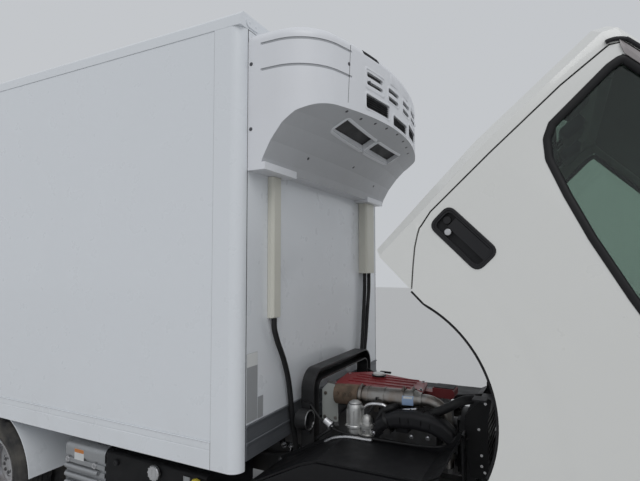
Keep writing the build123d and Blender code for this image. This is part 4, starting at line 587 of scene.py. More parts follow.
fixed("unit_name_plate", Shape().grid(plate_rows, True).cap(len(plate_rows[0])), "unit_white")

# Panel seams: thin dark lines down the bowed front
shape = Shape()
for side in (-1, 1):
    rows = []
    for share in (k / 8 for k in range(9)):
        place, facing = unit_front(side * (556 + 20 * share), 0.4)
        across = Vector((-facing.y, facing.x, 0)) * 1.3
        rows.append([(*edge.xy, UNIT_TOP - 34 - 288 * share) for edge in (place - across, place + across)])
    shape.grid(rows)
fixed("unit_seams", shape, "shade_dark")

SCREW_R = 9
shape = Shape()
for side in (-1, 1):
    for drop in (153, 462):
        place = (ahead(18), UNIT_Y + side * (UNIT_HALF + 0.4), UNIT_TOP - drop)
        shape.screw(place, LEFTWARD * side, SCREW_R)
    for y, drop in ((568, 132), (395, 169)):
        place, facing = unit_front(side * y)
        shape.screw((*place.xy, UNIT_TOP - drop), facing, SCREW_R, 2.6)
fixed("unit_screws", shape, "screw_dark", "unit_white")

# Load box: joints of the rails and skins, sealing beads, bare label plates and the corner castings
shape = Shape()
for side in (-1, 1):
    y = side * (BOX_HALF + 3.4)
    x = ahead(-150)
    shape.block((x - 1.2, y - side * 4, BOX_BOTTOM), (x + 1.2, y, FLOOR_TOP))
    y = side * (BOX_HALF + 0.6)
    for x in (ahead(-151), BOX_REAR + 81):
        shape.block((x - 1, y - side, FLOOR_TOP), (x + 1, y, BOX_TOP - 75))
fixed("box_joint_lines", shape, "cord_grey", "box_white")

FRONT_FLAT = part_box("box_front_wall")[1].y / MM
shape = Shape()
for y in (-FRONT_FLAT, FRONT_FLAT):
    shape.block((ahead(-1.4), y - 2, BOX_BOTTOM), (ahead(0.6), y + 2, BOX_TOP - 71))
shape.block((ahead(-2), -FRONT_FLAT, BOX_TOP - 72.5), (ahead(0.5), FRONT_FLAT, BOX_TOP - 70.5))
fixed("box_front_seals", shape, "shade_dark", "box_white")

# name, y range, height range, corner radius and steps, proud of the wall from and to, look
LABELS = [
    ("box_label_1", (-834, -748), (936, 1248), 4, 3, (0.2, 1.6), "label_grey"),
    ("box_label_2", (-744, -700), (934, 1034), 4, 3, (0.2, 1.6), "label_grey"),
    ("box_label_fields", (-833, -749), (1186, 1247), 3, 2, (1.5, 2.1), "label_white"),
]
for name, ys, zs, radius, steps, (foot, face), look in LABELS:
    shape = Shape().plate(rectangle(*ys, *zs, radius, steps), "x", ahead(foot), ahead(face))
    fixed(name, shape, look, "box_white")

CASTING = rounded([(762, -60), (858, -60), (858, -12), (762, -12)], 22)
shape = Shape()
for side in (-1, 1):
    shape.plate([(side * y, BOX_TOP + z) for y, z in CASTING], "x", ahead(-2), ahead(5))
    for y in (785, 835):
        base = (ahead(5), side * y, BOX_TOP - 36)
        shape.turned(base, FORWARD, [(-1, 6), (1.5, 5.5), (3, 2)], 14)
fixed("box_corner_castings", shape, "box_white", bevel=1.5)

# Wheels: turned tyres with tread, and the rims' nuts, flanges and valves
# Half a tyre's section, from its bead to the middle of its tread: distance across, radius
TYRE_HALF_SECTION = [
    (79, 214), (84.5, 221.5), (92.5, 238), (93.5, 244), (95, 245), (97.2, 272),
    (97.5, 290), (96.2, 302), (97, 304), (94, 318), (91.5, 326), (88, 329),
    (85, 340), (81, 347), (74, 351.5), (52, 354.5), (50.8, 347), (43.2, 347),
    (42, 355), (18, 355), (16.8, 346.5), (9.2, 346.5), (8, 355),
]
SHOULDER_ROWS = (12, 13, 14, 15)
NOTCH_DEPTH = 6
TREAD_STEPS = 144
SECTION = TYRE_HALF_SECTION + [(-a, r) for a, r in reversed(TYRE_HALF_SECTION)]
SECTION += [(-70, 214), (70, 214)]
RIM_FLANGE = [(79, 206), (79, 214), (85, 220.5), (90, 220), (90.5, 215), (86, 210), (84, 205)]


def tread(number, step):
    """Notches across the tread's shoulders, two steps wide and two apart."""
    mirrored = len(TYRE_HALF_SECTION) * 2 - 1 - number
    notched = number in SHOULDER_ROWS and step % 4 < 2 or mirrored in SHOULDER_ROWS and (step + 2) % 4 < 2
    return NOTCH_DEPTH if notched else 0


# tyre's, rim's and body's name, axle, distances of the wheels from the middle
WHEELS = [("tyre_front", "rim_front", "wheel_front", FRONT_AXLE, [700]),
          ("tyres_rear", "rims_rear", "wheels_rear", REAR_AXLE, [542, 762])]
for name, side in SIDES.items():
    outward = LEFTWARD * side
    for tyre, rim, body, axle, ys in WHEELS:
        tyre, rim, body = f"{tyre}_{name}", f"{rim}_{name}", f"{body}_{name}"
        tyres, flanges = Shape(), Shape()
        for middle in ((axle, side * y, TYRE_R) for y in ys):
            tyres.ring(middle, LEFTWARD, SECTION, TREAD_STEPS, tread)
            for way in (RIGHTWARD, LEFTWARD):
                flanges.ring(middle, way, RIM_FLANGE, 72)
        piece(f"{tyre}_rubber", tyres, body, "tyre", angle=38, stands_for=(tyre,))
        dressed(rim, 1.5, angle=30)
        piece(f"{rim}_flanges", flanges, body, "rim_silver")
    # Six nuts hold each wheel, and the hubs end in a dome in front and a bolted shaft flange behind
    body = f"wheel_front_{name}"
    nuts = Shape()
    for spot in circle(6, 75, UP, FORWARD, 0.25):
        foot = Vector((FRONT_AXLE, side * 748.2, TYRE_R)) + spot
        nuts.bolt(foot, outward, 27)
        nuts.rod(foot, foot + outward * 26, 7.5, 12)
    piece(f"{body}_nuts", nuts, body, "bar_steel", "rim_silver")
    dome = [(-2, 31), (4, 31), (9, 27), (12, 18), (12.8, 4)]
    hub = Shape().turned((FRONT_AXLE, side * 784, TYRE_R), outward, dome, 36)
    for spot in circle(3, 40, UP, FORWARD):
        hub.bolt(Vector((FRONT_AXLE, side * 779, TYRE_R)) + spot, outward, 8)
    piece(f"{body}_cap", hub, body, "cast_light", "rim_silver", bevel=0.8)
    valve = Shape().rod((FRONT_AXLE, side * 745, TYRE_R + 186),
                        (FRONT_AXLE + 4, side * 785, TYRE_R + 178), 4.2, 10)
    piece(f"{body}_valve", valve, body, "trim_black")
    body = f"wheels_rear_{name}"
    nuts = Shape()
    for count, radius, y, size in ((6, 92.5, 664.2, 24), (8, 46, 746.2, 13)):
        for spot in circle(count, radius, UP, FORWARD):
            nuts.bolt(Vector((REAR_AXLE, side * y, TYRE_R)) + spot, outward, size)
    piece(f"{body}_nuts", nuts, body, "engine_grey")
    valve = Shape().rod((REAR_AXLE, side * 700, TYRE_R + 178),
                        (REAR_AXLE + 3, side * 800, TYRE_R + 186), 4.2, 10)
    piece(f"{body}_valve", valve, body, "trim_black")


# Engine bay: fittings, pipes, labels and clips, in the places where the photograph shows them
def bay(x, y, z):
    """A place in the engine bay, its length measured forward from the box's front wall."""
    return Vector((ahead(x), y, z))


def bay_pipes(shape, pipes):
    """Pipes in the engine bay, each given by its places, radius and steps round."""
    for line, radius, steps in pipes:
        shape.pipe([bay(*p) for p in line], radius, steps)
    return shape


shape = Shape()
for side in (-1, 1):
    cup = [(0, 51.5), (3, 52), (4.8, 50), (4.8, 46.5), (2, 44.2), (-6, 44.2)]
    shape.ring(bay(120.5, side * 452, 860), FORWARD, cup, 48)
fixed("latch_cup_rings", shape, "bar_steel", "engine_grey")

shape = Shape()
COLLAR = [(0, 23.5), (8, 23.5), (11, 20), (11, 12), (4, 10)]
for side in (-1, 1):
    y = side * 474
    shape.rod(bay(216, side * 460, 875.5), bay(250, side * 464, 856.2), 20, 20)
    shape.turned(bay(244, side * 463.5, 859.5), (60, side * 6, -34), COLLAR, 24)
    bay_pipes(shape, [([(222, y, 776), (250, y, 792), (285, y, 806), (348, y, 818),
                        (430, y, 820), (470, y, 822)], 9.5, 12)])
fixed("bay_bright_pipes", shape, "bar_steel", "engine_grey")

# Light castings beside the engine: a ribbed dome and a flanged valve
DOME_AT = bay(362, -419, 822)
DOME = [(0, 41.2), (30, 41.8), (34, 44.5), (44, 44.5), (48, 41.4), (126, 41.4),
        (142, 37), (154, 29), (162, 16), (164, 2)]
VALVE_AT = bay(427, -425, 820)
VALVE = [(0, 40), (14, 40), (15, 30), (44, 32), (48, 41), (62, 41), (64, 29), (86, 27), (100, 18), (108, 3)]
shape = Shape().turned(DOME_AT, UP, DOME, 40).turned(VALVE_AT, UP, VALVE)
for spot in circle(14, 41.8, FORWARD, LEFTWARD):
    shape.rod(DOME_AT + spot + UP * 50, DOME_AT + spot + UP * 120, 2.6, 6)
for spot in circle(4, 46, FORWARD, LEFTWARD, 0.5):
    shape.bolt(DOME_AT + spot + UP * 44, UP, 10)
for spot in circle(3, 35, FORWARD, LEFTWARD):
    shape.bolt(VALVE_AT + spot + UP * 62, UP, 8)
shape.rod(bay(390, -418, 868), bay(427, -425, 868), 15)
shape.rod(bay(427, -425, 852), bay(468, -440, 846), 12)
fixed("bay_light_castings", shape, "cast_light", "engine_grey", bevel=0.8)

shape = bay_pipes(Shape(), [([(398, -402, 944), (430, -404, 968), (490, -404, 976),
                              (524, -396, 962), (532, -378, 944)], 8.5, 12)])
shape.rod(bay(594, -392, 960), bay(665, -392, 974), 6.5)
# distance from the middle, size, places
SIDE_BOLTS = [(-449, 11, [(426, 852), (469, 850), (654, 862), (731, 868)]),
              (-352, 20, [(-92, 665), (-66, 595), (-108, 583)])]
for y, size, places in SIDE_BOLTS:
    for x, z in places:
        shape.bolt(bay(x, y, z), RIGHTWARD, size)
for x in (0, 66):
    shape.rod(bay(x, -430, 670), bay(x, -430, 700), 8, 12)
    shape.bolt(bay(x, -430, 700), UP, 18)
fixed("bay_fittings", shape, "chrome", "engine_grey")


def outline_at(start, points, radius):
    """A rounded outline whose lengths are measured from the box's front wall or the front axle."""
    return [(start(x), other) for x, other in rounded(points, radius)]


# Heat plate beside the turbo, the rusty end of the canister, its clamps and bare labels
PLATE_EDGE = [(120, 820), (214, 820), (214, 1014), (152, 1020), (120, 985)]
shape = Shape().plate(outline_at(ahead, PLATE_EDGE, 12), "y", -303.5, -300.8)
fixed("bay_heat_plate", shape, "clip_grey", "engine_grey", bevel=0.8)
CANISTER_AT = bay(215, -325, 978)
CANISTER_WAY = Vector((1, 0, 0.05)).normalized()
shape = Shape()
for x, z in ((135, 840), (198, 840), (198, 995), (140, 965)):
    shape.bolt(bay(x, -303.5, z), RIGHTWARD, 10)
for along in (150, 372, 420):
    middle = CANISTER_AT + CANISTER_WAY * along
    shape.ring(middle, CANISTER_WAY, [(-8, 48.8), (-8, 51.8), (8, 51.8), (8, 48.8)], 40)
    shape.rod(middle + Vector((0, -30, 42)), middle + Vector((0, -4, 58)), 5, 10)
fixed("bay_clamps", shape, "exhaust_metal")
SLEEVE = [(2, 36), (4, 50), (10, 51.2), (58, 50.8), (62, 52.8), (70, 52.8),
          (74, 50.8), (130, 50.8), (135, 48), (135, 30)]
shape = Shape().turned(CANISTER_AT, CANISTER_WAY, SLEEVE, 40)
for along in (30, 65, 100):
    shape.bolt(CANISTER_AT + CANISTER_WAY * along + Vector((0, -49, 12)), RIGHTWARD, 12)
fixed("bay_rusty_sleeve", shape, "rust", "exhaust_metal")

# name, its start and end along the canister, its turn from and to, distance from the axis, look
CANISTER_LABELS = [("bay_label_1", 374, 430, -0.35, 0.52, 52.3, "label_blue"),
                   ("bay_label_2", 380, 424, 0.26, 0.46, 52.7, "label_white")]
for name, start, end, low, high, radius, look in CANISTER_LABELS:
    rows = []
    for turn in (low + (high - low) * i / 8 for i in range(9)):
        out = RIGHTWARD * cos(turn) + UP * sin(turn)
        rows.append([CANISTER_AT + CANISTER_WAY * along + out * radius for along in (start, end)])
    fixed(name, Shape().grid(rows), look, "exhaust_metal")


# Air duct: its open end, its ribs and its hoses
def oval(x, z, lean, wide, high, out):
    """A slightly oval ring round the duct, leaning forward by an angle."""
    row = []
    for turn in (2 * pi * i / 28 for i in range(28)):
        up = (high + out) * sin(turn)
        row.append(bay(x + up * sin(lean), -405 + (wide + out) * cos(turn), z + up * cos(lean)))
    return row


# how far along and up from the ring's middle, and how far proud of the duct
COLLAR_SECTION = [(-10, 4, 1), (-10, 4, 8), (10, -8, 8), (10, -8, 1)]
RIB_SECTION = [(-4, 0, -2), (0, 0, 4), (4, 0, -2)]
# length, height, lean, half width, half height, section
DUCT_RINGS = [(845, 862, 0.62, 41, 45, COLLAR_SECTION), (530, 908, -0.35, 41, 38, COLLAR_SECTION)]
DUCT_RINGS += [(x, z, lean, 46, 42, RIB_SECTION) for x, z, lean in (
    (600, 925, -0.1), (640, 929, -0.05), (700, 928, 0.05), (740, 923, 0.2))]
shape = Shape()
for x, z, lean, wide, high, section in DUCT_RINGS:
    shape.grid([oval(x + dx, z + dz, lean, wide, high, out) for dx, dz, out in section], True)
bay_pipes(shape, [
    ([(470, -405, 892), (500, -402, 944), (545, -392, 966), (560, -350, 960),
      (556, -300, 930)], 16.5, 14),
    ([(690, -360, 905), (725, -376, 950), (775, -382, 978), (830, -382, 1010),
      (880, -372, 1036), (925, -340, 1040)], 21, 16)])
fixed("bay_hoses", shape, "hose_black")
fixed("bay_wiring", bay_pipes(Shape(), [
    ([(110, -420, 930), (200, -450, 860), (310, -466, 832), (420, -468, 828),
      (560, -468, 830), (700, -468, 834), (800, -450, 842), (900, -395, 880)], 6, 10),
    ([(460, -380, 1000), (450, -410, 960), (427, -425, 925)], 4.5, 10),
    ([(100, 395, 960), (250, 300, 930), (450, 250, 900), (660, 260, 880),
      (880, 300, 900)], 8, 10),
    ([(-300, -372, 610), (-100, -372, 625), (50, -376, 690), (140, -380, 760),
      (200, -330, 800)], 9, 10)]), "hose_black")

# Red cover: its bolts, the bare oval cap in its ring and a dark clip
shape = Shape()
for x, y in ((150, -205), (620, -145), (590, 20), (320, 105), (135, 35)):
    shape.turned(bay(x, y, 999.5), UP, [(0, 11), (2, 11), (3, 6.5), (9, 6.5), (10, 5)], 18)
fixed("cover_bolts", shape, "bar_steel", "engine_red")
shape = Shape().turned(bay(333, 5, 1015.5), UP, [(0, 42), (3, 42), (5, 39), (5, 34)], 36)
shape.block(bay(295, 128, 1001), bay(362, 142, 1012))
shape.plate([(ahead(x), y) for x, y in rectangle(668, 775, -78, 14, 14)], "z", 1003.5, 1008)
fixed("cover_cap_ring", shape, "trim_black", "engine_red", bevel=1)
shape = Shape().turned(bay(333, 5, 1019), UP, [(0, 34), (8, 34), (11, 31), (11.5, 2)], 36)
fixed("cover_cap_face", shape, "label_white", "engine_red", bevel=0.6)

# Wheelhouse liners: small bolts, pale clips, rubber skirts; black sheets beside the radiator
LINER_EDGE = [(-36, 632), (250, 778), (330, 806), (790, 812), (860, 850), (893, 905)]


def liner_top(x):
    """The liner's height at a length forward of the box."""
    for (x0, z0), (x1, z1) in zip(LINER_EDGE, LINER_EDGE[1:]):
        if x <= x1:
            return z0 + (z1 - z0) * (x - x0) / (x1 - x0)
    return LINER_EDGE[-1][1]


bolts, clips, skirts, sheets = Shape(), Shape(), Shape(), Shape()
skirt_edge = [(x, liner_top(x)) for x in (-36, 50, 150, 250, 330, 480, 640, 790, 860)]
sheet_edge = outline_at(ahead, [(905, 700), (985, 700), (985, 960), (1002, 1056), (962, 1056),
                                (884, 972), (879, 864)], 10)
for side in (-1, 1):
    for x, y in ((634, 539), (808, 540), (200, 600), (60, 520)):
        clips.turned(bay(x, side * y, liner_top(x) - 1), UP, [(0, 13), (3, 13), (5, 9), (5, 2)], 18)
    for x, y in ((438, 531), (400, 690), (509, 760), (324, 634), (700, 700)):
        bolts.bolt(bay(x, side * y, liner_top(x) - 1), UP, 11)
    for x, z in ((945, 918), (955, 805), (955, 758), (968, 732), (975, 1035)):
        bolts.bolt(bay(x, side * 377.5, z), LEFTWARD * side, 6.5)
    # A rubber skirt hangs from each liner's outer edge, and a flap from its rear end
    section = [(776, 2), (786, 4), (790, 30), (788, 85), (784, 85), (785, 30)]
    skirts.grid([[bay(x, side * y, z - drop) for x, z in skirt_edge] for y, drop in section])
    skirts.plate(rectangle(side * 470, side * 786, 300, 634, 30), "x", ahead(-42), ahead(-37))
    sheets.plate(sheet_edge, "y", side * 371.5, side * 377)
fixed("liner_bolts", bolts, "bar_steel", "trim_black")
fixed("liner_clips", clips, "clip_grey")
fixed("liner_skirts", skirts, "liner_black")
fixed("radiator_side_sheets", sheets, "liner_black", bevel=0.8)

# Cab outside: seals, rubbers, mouldings, lamps and fittings, shaped with the cab down and tilted with it
# height, rear end, front end, half width
CAB_LEVELS = [
    (440, -431, 1000, 845), (1040, -440, 1000, 845), (1160, -442, 958, 845),
    (1400, -444, 868, 843), (1925, -418, 664, 806), (1972, -396, 630, 780),
    (1990, -350, 575, 730),
]
CAB_CORNER = 125
CAB_BOW = 22
ARCH_R = 468
ARCH_Z = 390
BEAD_R = 5.5


def cab_level(z):
    """The cab's rear end, front end and half width at a height."""
    for low, high in zip(CAB_LEVELS, CAB_LEVELS[1:]):
        if z <= high[0]:
            share = (z - low[0]) / (high[0] - low[0])
            return [a + (b - a) * share for a, b in zip(low[1:], high[1:])]
    return CAB_LEVELS[-1][1:]


def on_side(side):
    """Places on one side of the cab, by length, height and how far proud."""
    def place(x, z, out=0):
        _, nose, half = cab_level(z)
        drawn = 20 * min(max((x - nose + 300) / 205, 0), 1)
        return Vector((front(x), side * (half - drawn + out), z))
    return place


def on_nose(y, z, out=0):
    """A place on the cab's front, by its distance from the middle, height and how far proud."""
    _, nose, half = cab_level(z)
    return Vector((front(nose - CAB_BOW * (y / (half - CAB_CORNER)) ** 2 + out), y, z))


def on_back(y, z, out=0):
    return Vector((front(cab_level(z)[0] - out), y, z))


def arch(first, last, steps):
    """Lengths and heights along the wheelarch between two turns in degrees."""
    turns = [radians(first + (last - first) * k / steps) for k in range(steps + 1)]
    return [(ARCH_R * cos(t), ARCH_Z + ARCH_R * sin(t)) for t in turns]


DOOR_EDGE = [
    (446, 560), (745, 560), (745, 1455), (575, 1945), (-300, 1945), (-333, 1907), (-355, 1718),
    (-366, 1452), (-377, 1103), (-363, 1028), (-323, 965), (-277, 908), (-224, 847),
]
WINDOW_EDGE = [
    (-286, 1600), (-261, 1549), (-203, 1500), (-74, 1446), (79, 1391), (294, 1329), (700, 1232),
    (700, 1440), (548, 1905), (-275, 1905), (-286, 1850),
]
WINDOW_RADII = [20, 50, 60, 60, 60, 60, 30, 60, 30, 30, 60]
DRIP_EDGE = [(-343, 1905), (-330, 1926), (-306, 1948), (-270, 1953), (0, 1953), (300, 1953),
             (560, 1953), (610, 1900)]
# length, and how far down the strip above the window reaches there
STRIP_EDGE = [(-316, 3), (-300, 16), (-270, 30)] + [(x, 31) for x in (-150, 100, 350, 560)]
SCREEN_EDGE = [(-690, 1190), (690, 1190), (660, 1880), (-660, 1880)]
BACK_EDGE = [(-400, 1530), (400, 1530), (400, 1860), (-400, 1860)]
# Sections: how far in from their outline, and how far proud
SEAL = [(0.6, -5), (5.2, -5), (5.2, -14), (0.6, -14), (0.6, -5)]
RUBBER = [(-4, -3), (-4, 1.5), (0, 3.2), (12, 3.4), (20, 0), (24, -6), (24, -13)]
SCREEN_RUBBER = [(-6, -3), (-6, 2), (0, 4), (14, 3.8), (22, 0), (26, -6), (26, -13)]
HANDLE_RIM = [(-6, -2), (-6, 1.5), (-3, 4), (4, 4), (6, 1), (6, -6)]
REPEATER_FRAME = [(-3, -1), (-3, 2), (1, 6)]
REPEATER_LENS = [(0, 2), (2, 10), (7, 14)]
CORNER_FRAME = [(-6, -1), (-6, 5), (-1, 6)]
CORNER_LENS = [(0, -1), (1, 8), (6, 14)]


def add_lamp(frame_name, lens_name, place, edge, lens_edge, frame_section, lens_section):
    """A lamp on the cab: its frame round an outline, and its raised lens."""
    tilted(frame_name, band(Shape(), edge, place, frame_section), "trim_black")
    tilted(lens_name, band(Shape(), lens_edge, place, lens_section, capped=True), "amber", "lamp_glass")


for name, side in SIDES.items():
    place = on_side(side)
    door = f"cab_door_{name}"
    seal = band(Shape(), divided(DOOR_EDGE, 60, False), place, SEAL, False)
    tilted(f"door_seal_{name}", seal, "shade_dark")
    shape = band(Shape(), divided(rounded(WINDOW_EDGE, WINDOW_RADII), 50), place, RUBBER)
    tilted(f"window_rubber_{name}", shape, "rubber_black", body=door, angle=50)
    # The arch's edge carries a dark bead, partly on the door and partly on the body
    for part, body, line in (("door", door, arch(22, 106, 28) + [(-150, 836), (-212, 836)]),
                             ("cab", "cab", arch(9, 20, 4))):
        bead = Shape().pipe([place(x, z, 4) for x, z in line], BEAD_R, 10, 1)
        tilted(f"arch_bead_{part}_{name}", bead, "rubber_black", body=body)
    drip = Shape().pipe([place(x, z, 4) for x, z in DRIP_EDGE], 7.5, 10, 4)
    tilted(f"drip_moulding_{name}", drip, "trim_black")
    rows = [[place(x, 1937 - share * reach, out) for x, reach in STRIP_EDGE]
            for share, out in ((0, -1), (0, 4), (0.5, 7.5), (1, 7), (1, -1))]
    tilted(f"door_top_trim_{name}", Shape().grid(rows), "visor_grey", body=door)
    # Handle: its lock cylinder and the pocket's rim
    lock = [(0, 13), (6, 13), (8, 11), (8.5, 3)]
    shape = Shape().turned(place(-272, 1092, -4), LEFTWARD * side, lock, 24)
    tilted(f"door_lock_{name}", shape, "bar_steel", "trim_black", door)
    shape = band(Shape(), rectangle(-337, -97, 1064, 1164, 30), place, HANDLE_RIM)
    tilted(f"handle_rim_{name}", shape, "trim_black", body=door)
    add_lamp(f"side_lamp_frame_{name}", f"side_lamp_lens_{name}", place, rectangle(790, 866, 720, 750, 14, 4),
             rectangle(792, 864, 722, 748, 12, 4), REPEATER_FRAME, REPEATER_LENS)
    corners = [(side * y, z) for y, z in ((600, 905), (700, 905), (700, 955), (600, 955))]
    corner_edge = rounded(corners, 12)
    add_lamp(f"turn_lamp_frame_{name}", f"turn_lamp_{name}", on_nose, corner_edge, corner_edge, CORNER_FRAME,
             CORNER_LENS)
    # Mirror faces look back along the truck
    outline = rectangle(side * 895, side * 1015, 1362, 1628, 18)
    shape = Shape().plate(outline, "x", front(885), front(887.5))
    tilted(f"mirror_face_{name}", shape, "mirror_face", "glass", body_of["mirrors"])

shape = band(Shape(), divided(rounded(SCREEN_EDGE, 70), 60), on_nose, SCREEN_RUBBER)
band(shape, divided(rounded(BACK_EDGE, 60), 60), on_back, RUBBER)
tilted("screen_rubbers", shape, "rubber_black", angle=50)

# Wipers: two arms with blades on the windscreen, parked low
shape = Shape()
for y in (-560, -20):
    tip = y + 300
    shape.turned(on_nose(y, 1165, -4), (1, 0, 0.35), [(0, 16), (12, 16), (18, 11), (20, 3)], 20)
    shape.pipe([on_nose(y, 1165, 12), on_nose(y + 60, 1230, 22), on_nose(tip, 1275, 20)], 5.5, 8)
    shape.pipe([on_nose(tip + d, 1275 + 30 * d / 260, 10) for d in (-260, -130, 0, 130, 260)], 4.2, 8)
    shape.rod(on_nose(tip, 1275, 20), on_nose(tip, 1275, 8), 6, 10)
tilted("wipers", shape, "trim_black")

# Seams of the front panel, and the cowl's slots under the windscreen
shape = Shape()
for reach, z0, z1 in ((680, 1150, 1157), (700, 1064, 1067)):
    line = [reach * (k / 8 - 1) for k in range(17)]
    shape.grid([[on_nose(y, z, out) for y in line]
                for z, out in ((z0, -1), (z0, 0.8), (z1, 0.8), (z1, -1))])
tilted("front_seams", shape, "shade_dark")
slots = Shape()
for z in (1085 + 12 * row for row in range(5)):
    for y in (-300 + 20 * k for k in range(31)):
        slots.grid([[on_nose(y + dy, z + dz, out) for dy in (-6, 6)] for dz, out in ((0, 0.6), (5, 0.8))])
tilted("cowl_slots", slots, "shade_dark")

# Bumper: lamp bowls behind the glass, bulbs, the bare plate and its bolts
BUMPER_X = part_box("front_bumper")[1].x / MM
LAMP_LOW, LAMP_HIGH = [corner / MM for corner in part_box("headlamps")]
bowls, bulbs, shape = Shape(), Shape(), Shape()
for side in (-1, 1):
    for y, r, depth in ((665, 56, 50), (550, 46, 44)):
        base = Vector((LAMP_HIGH.x - 12 - depth, side * y, (LAMP_LOW.z + LAMP_HIGH.z) / 2))
        bowl = [(0, 12), (0.2 * depth, 0.45 * r), (0.5 * depth, 0.75 * r), (depth, r)]
        bowls.turned(base, FORWARD, bowl, 40)
        bulb = [(0, 10), (16, 10), (22, 6), (23, 1)]
        bulbs.turned(base + FORWARD * 0.6 * depth, FORWARD, bulb, 18)
piece("headlamp_bowls", bowls, body_of["headlamps"], "chrome", "lamp_glass")
piece("headlamp_bulbs", bulbs, body_of["headlamps"], "label_white", "lamp_glass")
PLATE_HALF = 165
BOLT_HALF = 105
outline = rectangle(-PLATE_HALF, PLATE_HALF, 512, 612, 8)
shape.plate(outline, "x", BUMPER_X - 1, BUMPER_X + 2.5)
fixed("front_plate", shape, "label_white", "cab_white", bevel=0.8)
shape = Shape()
for y in (-BOLT_HALF, BOLT_HALF):
    shape.bolt((BUMPER_X + 2.5, y, 597), FORWARD, 9)
fixed("front_plate_bolts", shape, "bar_steel", "trim_black")

# Cab interior: seats, dashboard fittings, controls and linings
trees = {}


def land(node, start, direction):
    """Where a line from a point first meets a solid of the frame, and the way that surface faces."""
    if node not in trees:
        mesh = frame["nodes"][node].data
        faces = [tuple(face.vertices) for face in mesh.polygons]
        trees[node] = BVHTree.FromPolygons([v.co for v in mesh.vertices], faces)
    place, facing = trees[node].ray_cast(Vector(start) * MM, Vector(direction).normalized())[:2]
    return place / MM, facing


TUNNEL_TOP = 1105
CUSHION = [(-330, 3), (168, 3), (183, 40), (150, 84), (-60, 75), (-330, 63)]
BACKREST = [(-384, 62), (-302, 62), (-263, 150), (-291, 330), (-319, 553), (-350, 588), (-384, 588)]
HEADREST = [(-377, 612), (-311, 612), (-307, 700), (-322, 738), (-366, 738), (-375, 720)]
HEADREST_HALF = 124
# A pad's outline is drawn in by shares: steeply at its ends, gently towards them, and in its channels
END_PULL = 0.36
SIDE_PULL = 0.03
CHANNEL_PULL = 0.055
PIPING_PULL = 0.025
CHANNEL_WIDTH = 0.012
PAD_STEPS = 48
# seat, its range across the cab
SEAT_PLACES = [("right", -735, -280), ("middle", -230, 230), ("left", 280, 735)]
# pad, side outline, drawn in at each end, radius of its edges, its sewn channels and piping, from 0 to 1
SEAT_PADS = [
    ("cushion", CUSHION, 2, 30, (0.17, 0.83), (0.035, 0.965)),
    ("backrest", BACKREST, 14, 34, (0.2, 0.8), (0.035, 0.965)),
    ("headrest", HEADREST, None, 24, (), ()),
]


def pad_slice(outline, y, pull):
    """A pad's outline at a distance across the cab, drawn towards its middle by a share."""
    middle = sum(outline, Vector((0, 0))) / len(outline)
    return [(front(x), y, z) for x, z in (middle + (p - middle) * (1 - pull) for p in outline)]


piping = Shape()
for seat, y0, y1 in SEAT_PLACES:
    middle_y = (y0 + y1) / 2
    for pad, side_line, drawn, radius, channels, piped in SEAT_PADS:
        half = HEADREST_HALF if drawn is None else (y1 - y0) / 2 - drawn
        corners = [(x, TUNNEL_TOP + z) for x, z in side_line]
        outline = [Vector(p) for p in divided(rounded(corners, radius, 4), 20)]
        rows = []
        for t in (k / PAD_STEPS for k in range(PAD_STEPS + 1)):
            off = 2 * t - 1
            pull = END_PULL * abs(off) ** 14 + SIDE_PULL * abs(off) ** 3
            pull += sum(CHANNEL_PULL * math.exp(-((t - c) / CHANNEL_WIDTH) ** 2) for c in channels)
            rows.append(pad_slice(outline, middle_y + half * off, pull))
        made = tilted(f"seat_{seat}_{pad}", Shape().grid(rows, True, True), "seat_fabric", angle=60)
        for t in piped:
            line = pad_slice(outline, middle_y + half * (2 * t - 1), PIPING_PULL)
            piping.pipe(line + line[:1], 3.5, 8, 1)
    for y in (middle_y - 50, middle_y + 50):
        piping.rod((front(-344), y, TUNNEL_TOP + 570), (front(-344), y, TUNNEL_TOP + 630), 6, 10)
tilted("seat_piping", piping, "trim_black")
shape = Shape()
for side in (-1, 1):
    shape.block((front(-330), side * 500, 975.5), (front(168), side * 735, 1105.5))
tilted("seat_bases", shape, "interior_grey", bevel=8, stands_for=("seats",))


# Dials, vents and knobs on the dashboard
def on_dash(y, z):
    """A place on the dashboard's face seen from the seats, and the way it faces."""
    return land("dashboard", TILT @ Vector((front(400), y, z)), TILT_WAY @ Vector((1, 0, -0.05)))


dials, needles, knobs, vents = Shape(), Shape(), Shape(), Shape()
for y, r in ((-470, 36), (-385, 42), (-315, 24)):
    place, facing = on_dash(y, 1262)
    dials.turned(place, facing, [(-2, r), (1.5, r), (1.8, 1)], 32)
    knobs.turned(place, facing, [(-2, r + 4), (4, r + 4), (6, r + 1), (4, r)], 32)
    foot = place + facing * 2.5
    needles.rod(foot, foot + TILT_WAY @ Vector((0, -0.7 * r, 0.5 * r)), 1.2, 6)
for y0, y1, z0, z1 in ((-90, 90, 1190, 1240), (-90, 90, 1120, 1165), (-700, -590, 1190, 1240),
                       (590, 700, 1190, 1240)):
    rows = []
    for z in (z0 + (z1 - z0) * k / 4 for k in range(5)):
        spots = [on_dash(y0 + (y1 - y0) * j / 4, z) for j in range(5)]
        rows.append([place + facing * 1.5 for place, facing in spots])
    vents.grid(rows)
for k in range(5):
    place, facing = on_dash(-80 + 40 * k, 1095)
    knobs.turned(place, facing, [(-1, 11), (10, 10), (12, 8), (12, 1)], 16)
piece("dash_dials", dials, "cab", "shade_dark", "interior_grey")
piece("dash_needles", needles, "cab", "label_white", "interior_grey")
piece("dash_knobs", knobs, "cab", "clip_grey", "interior_grey")
piece("dash_vents", vents, "cab", "shade_dark", "interior_grey")


def cab_pipe(shape, line, radius, steps=10):
    """A pipe in the cab, its lengths measured from the front axle."""
    return shape.pipe([(front(x), y, z) for x, y, z in line], radius, steps)


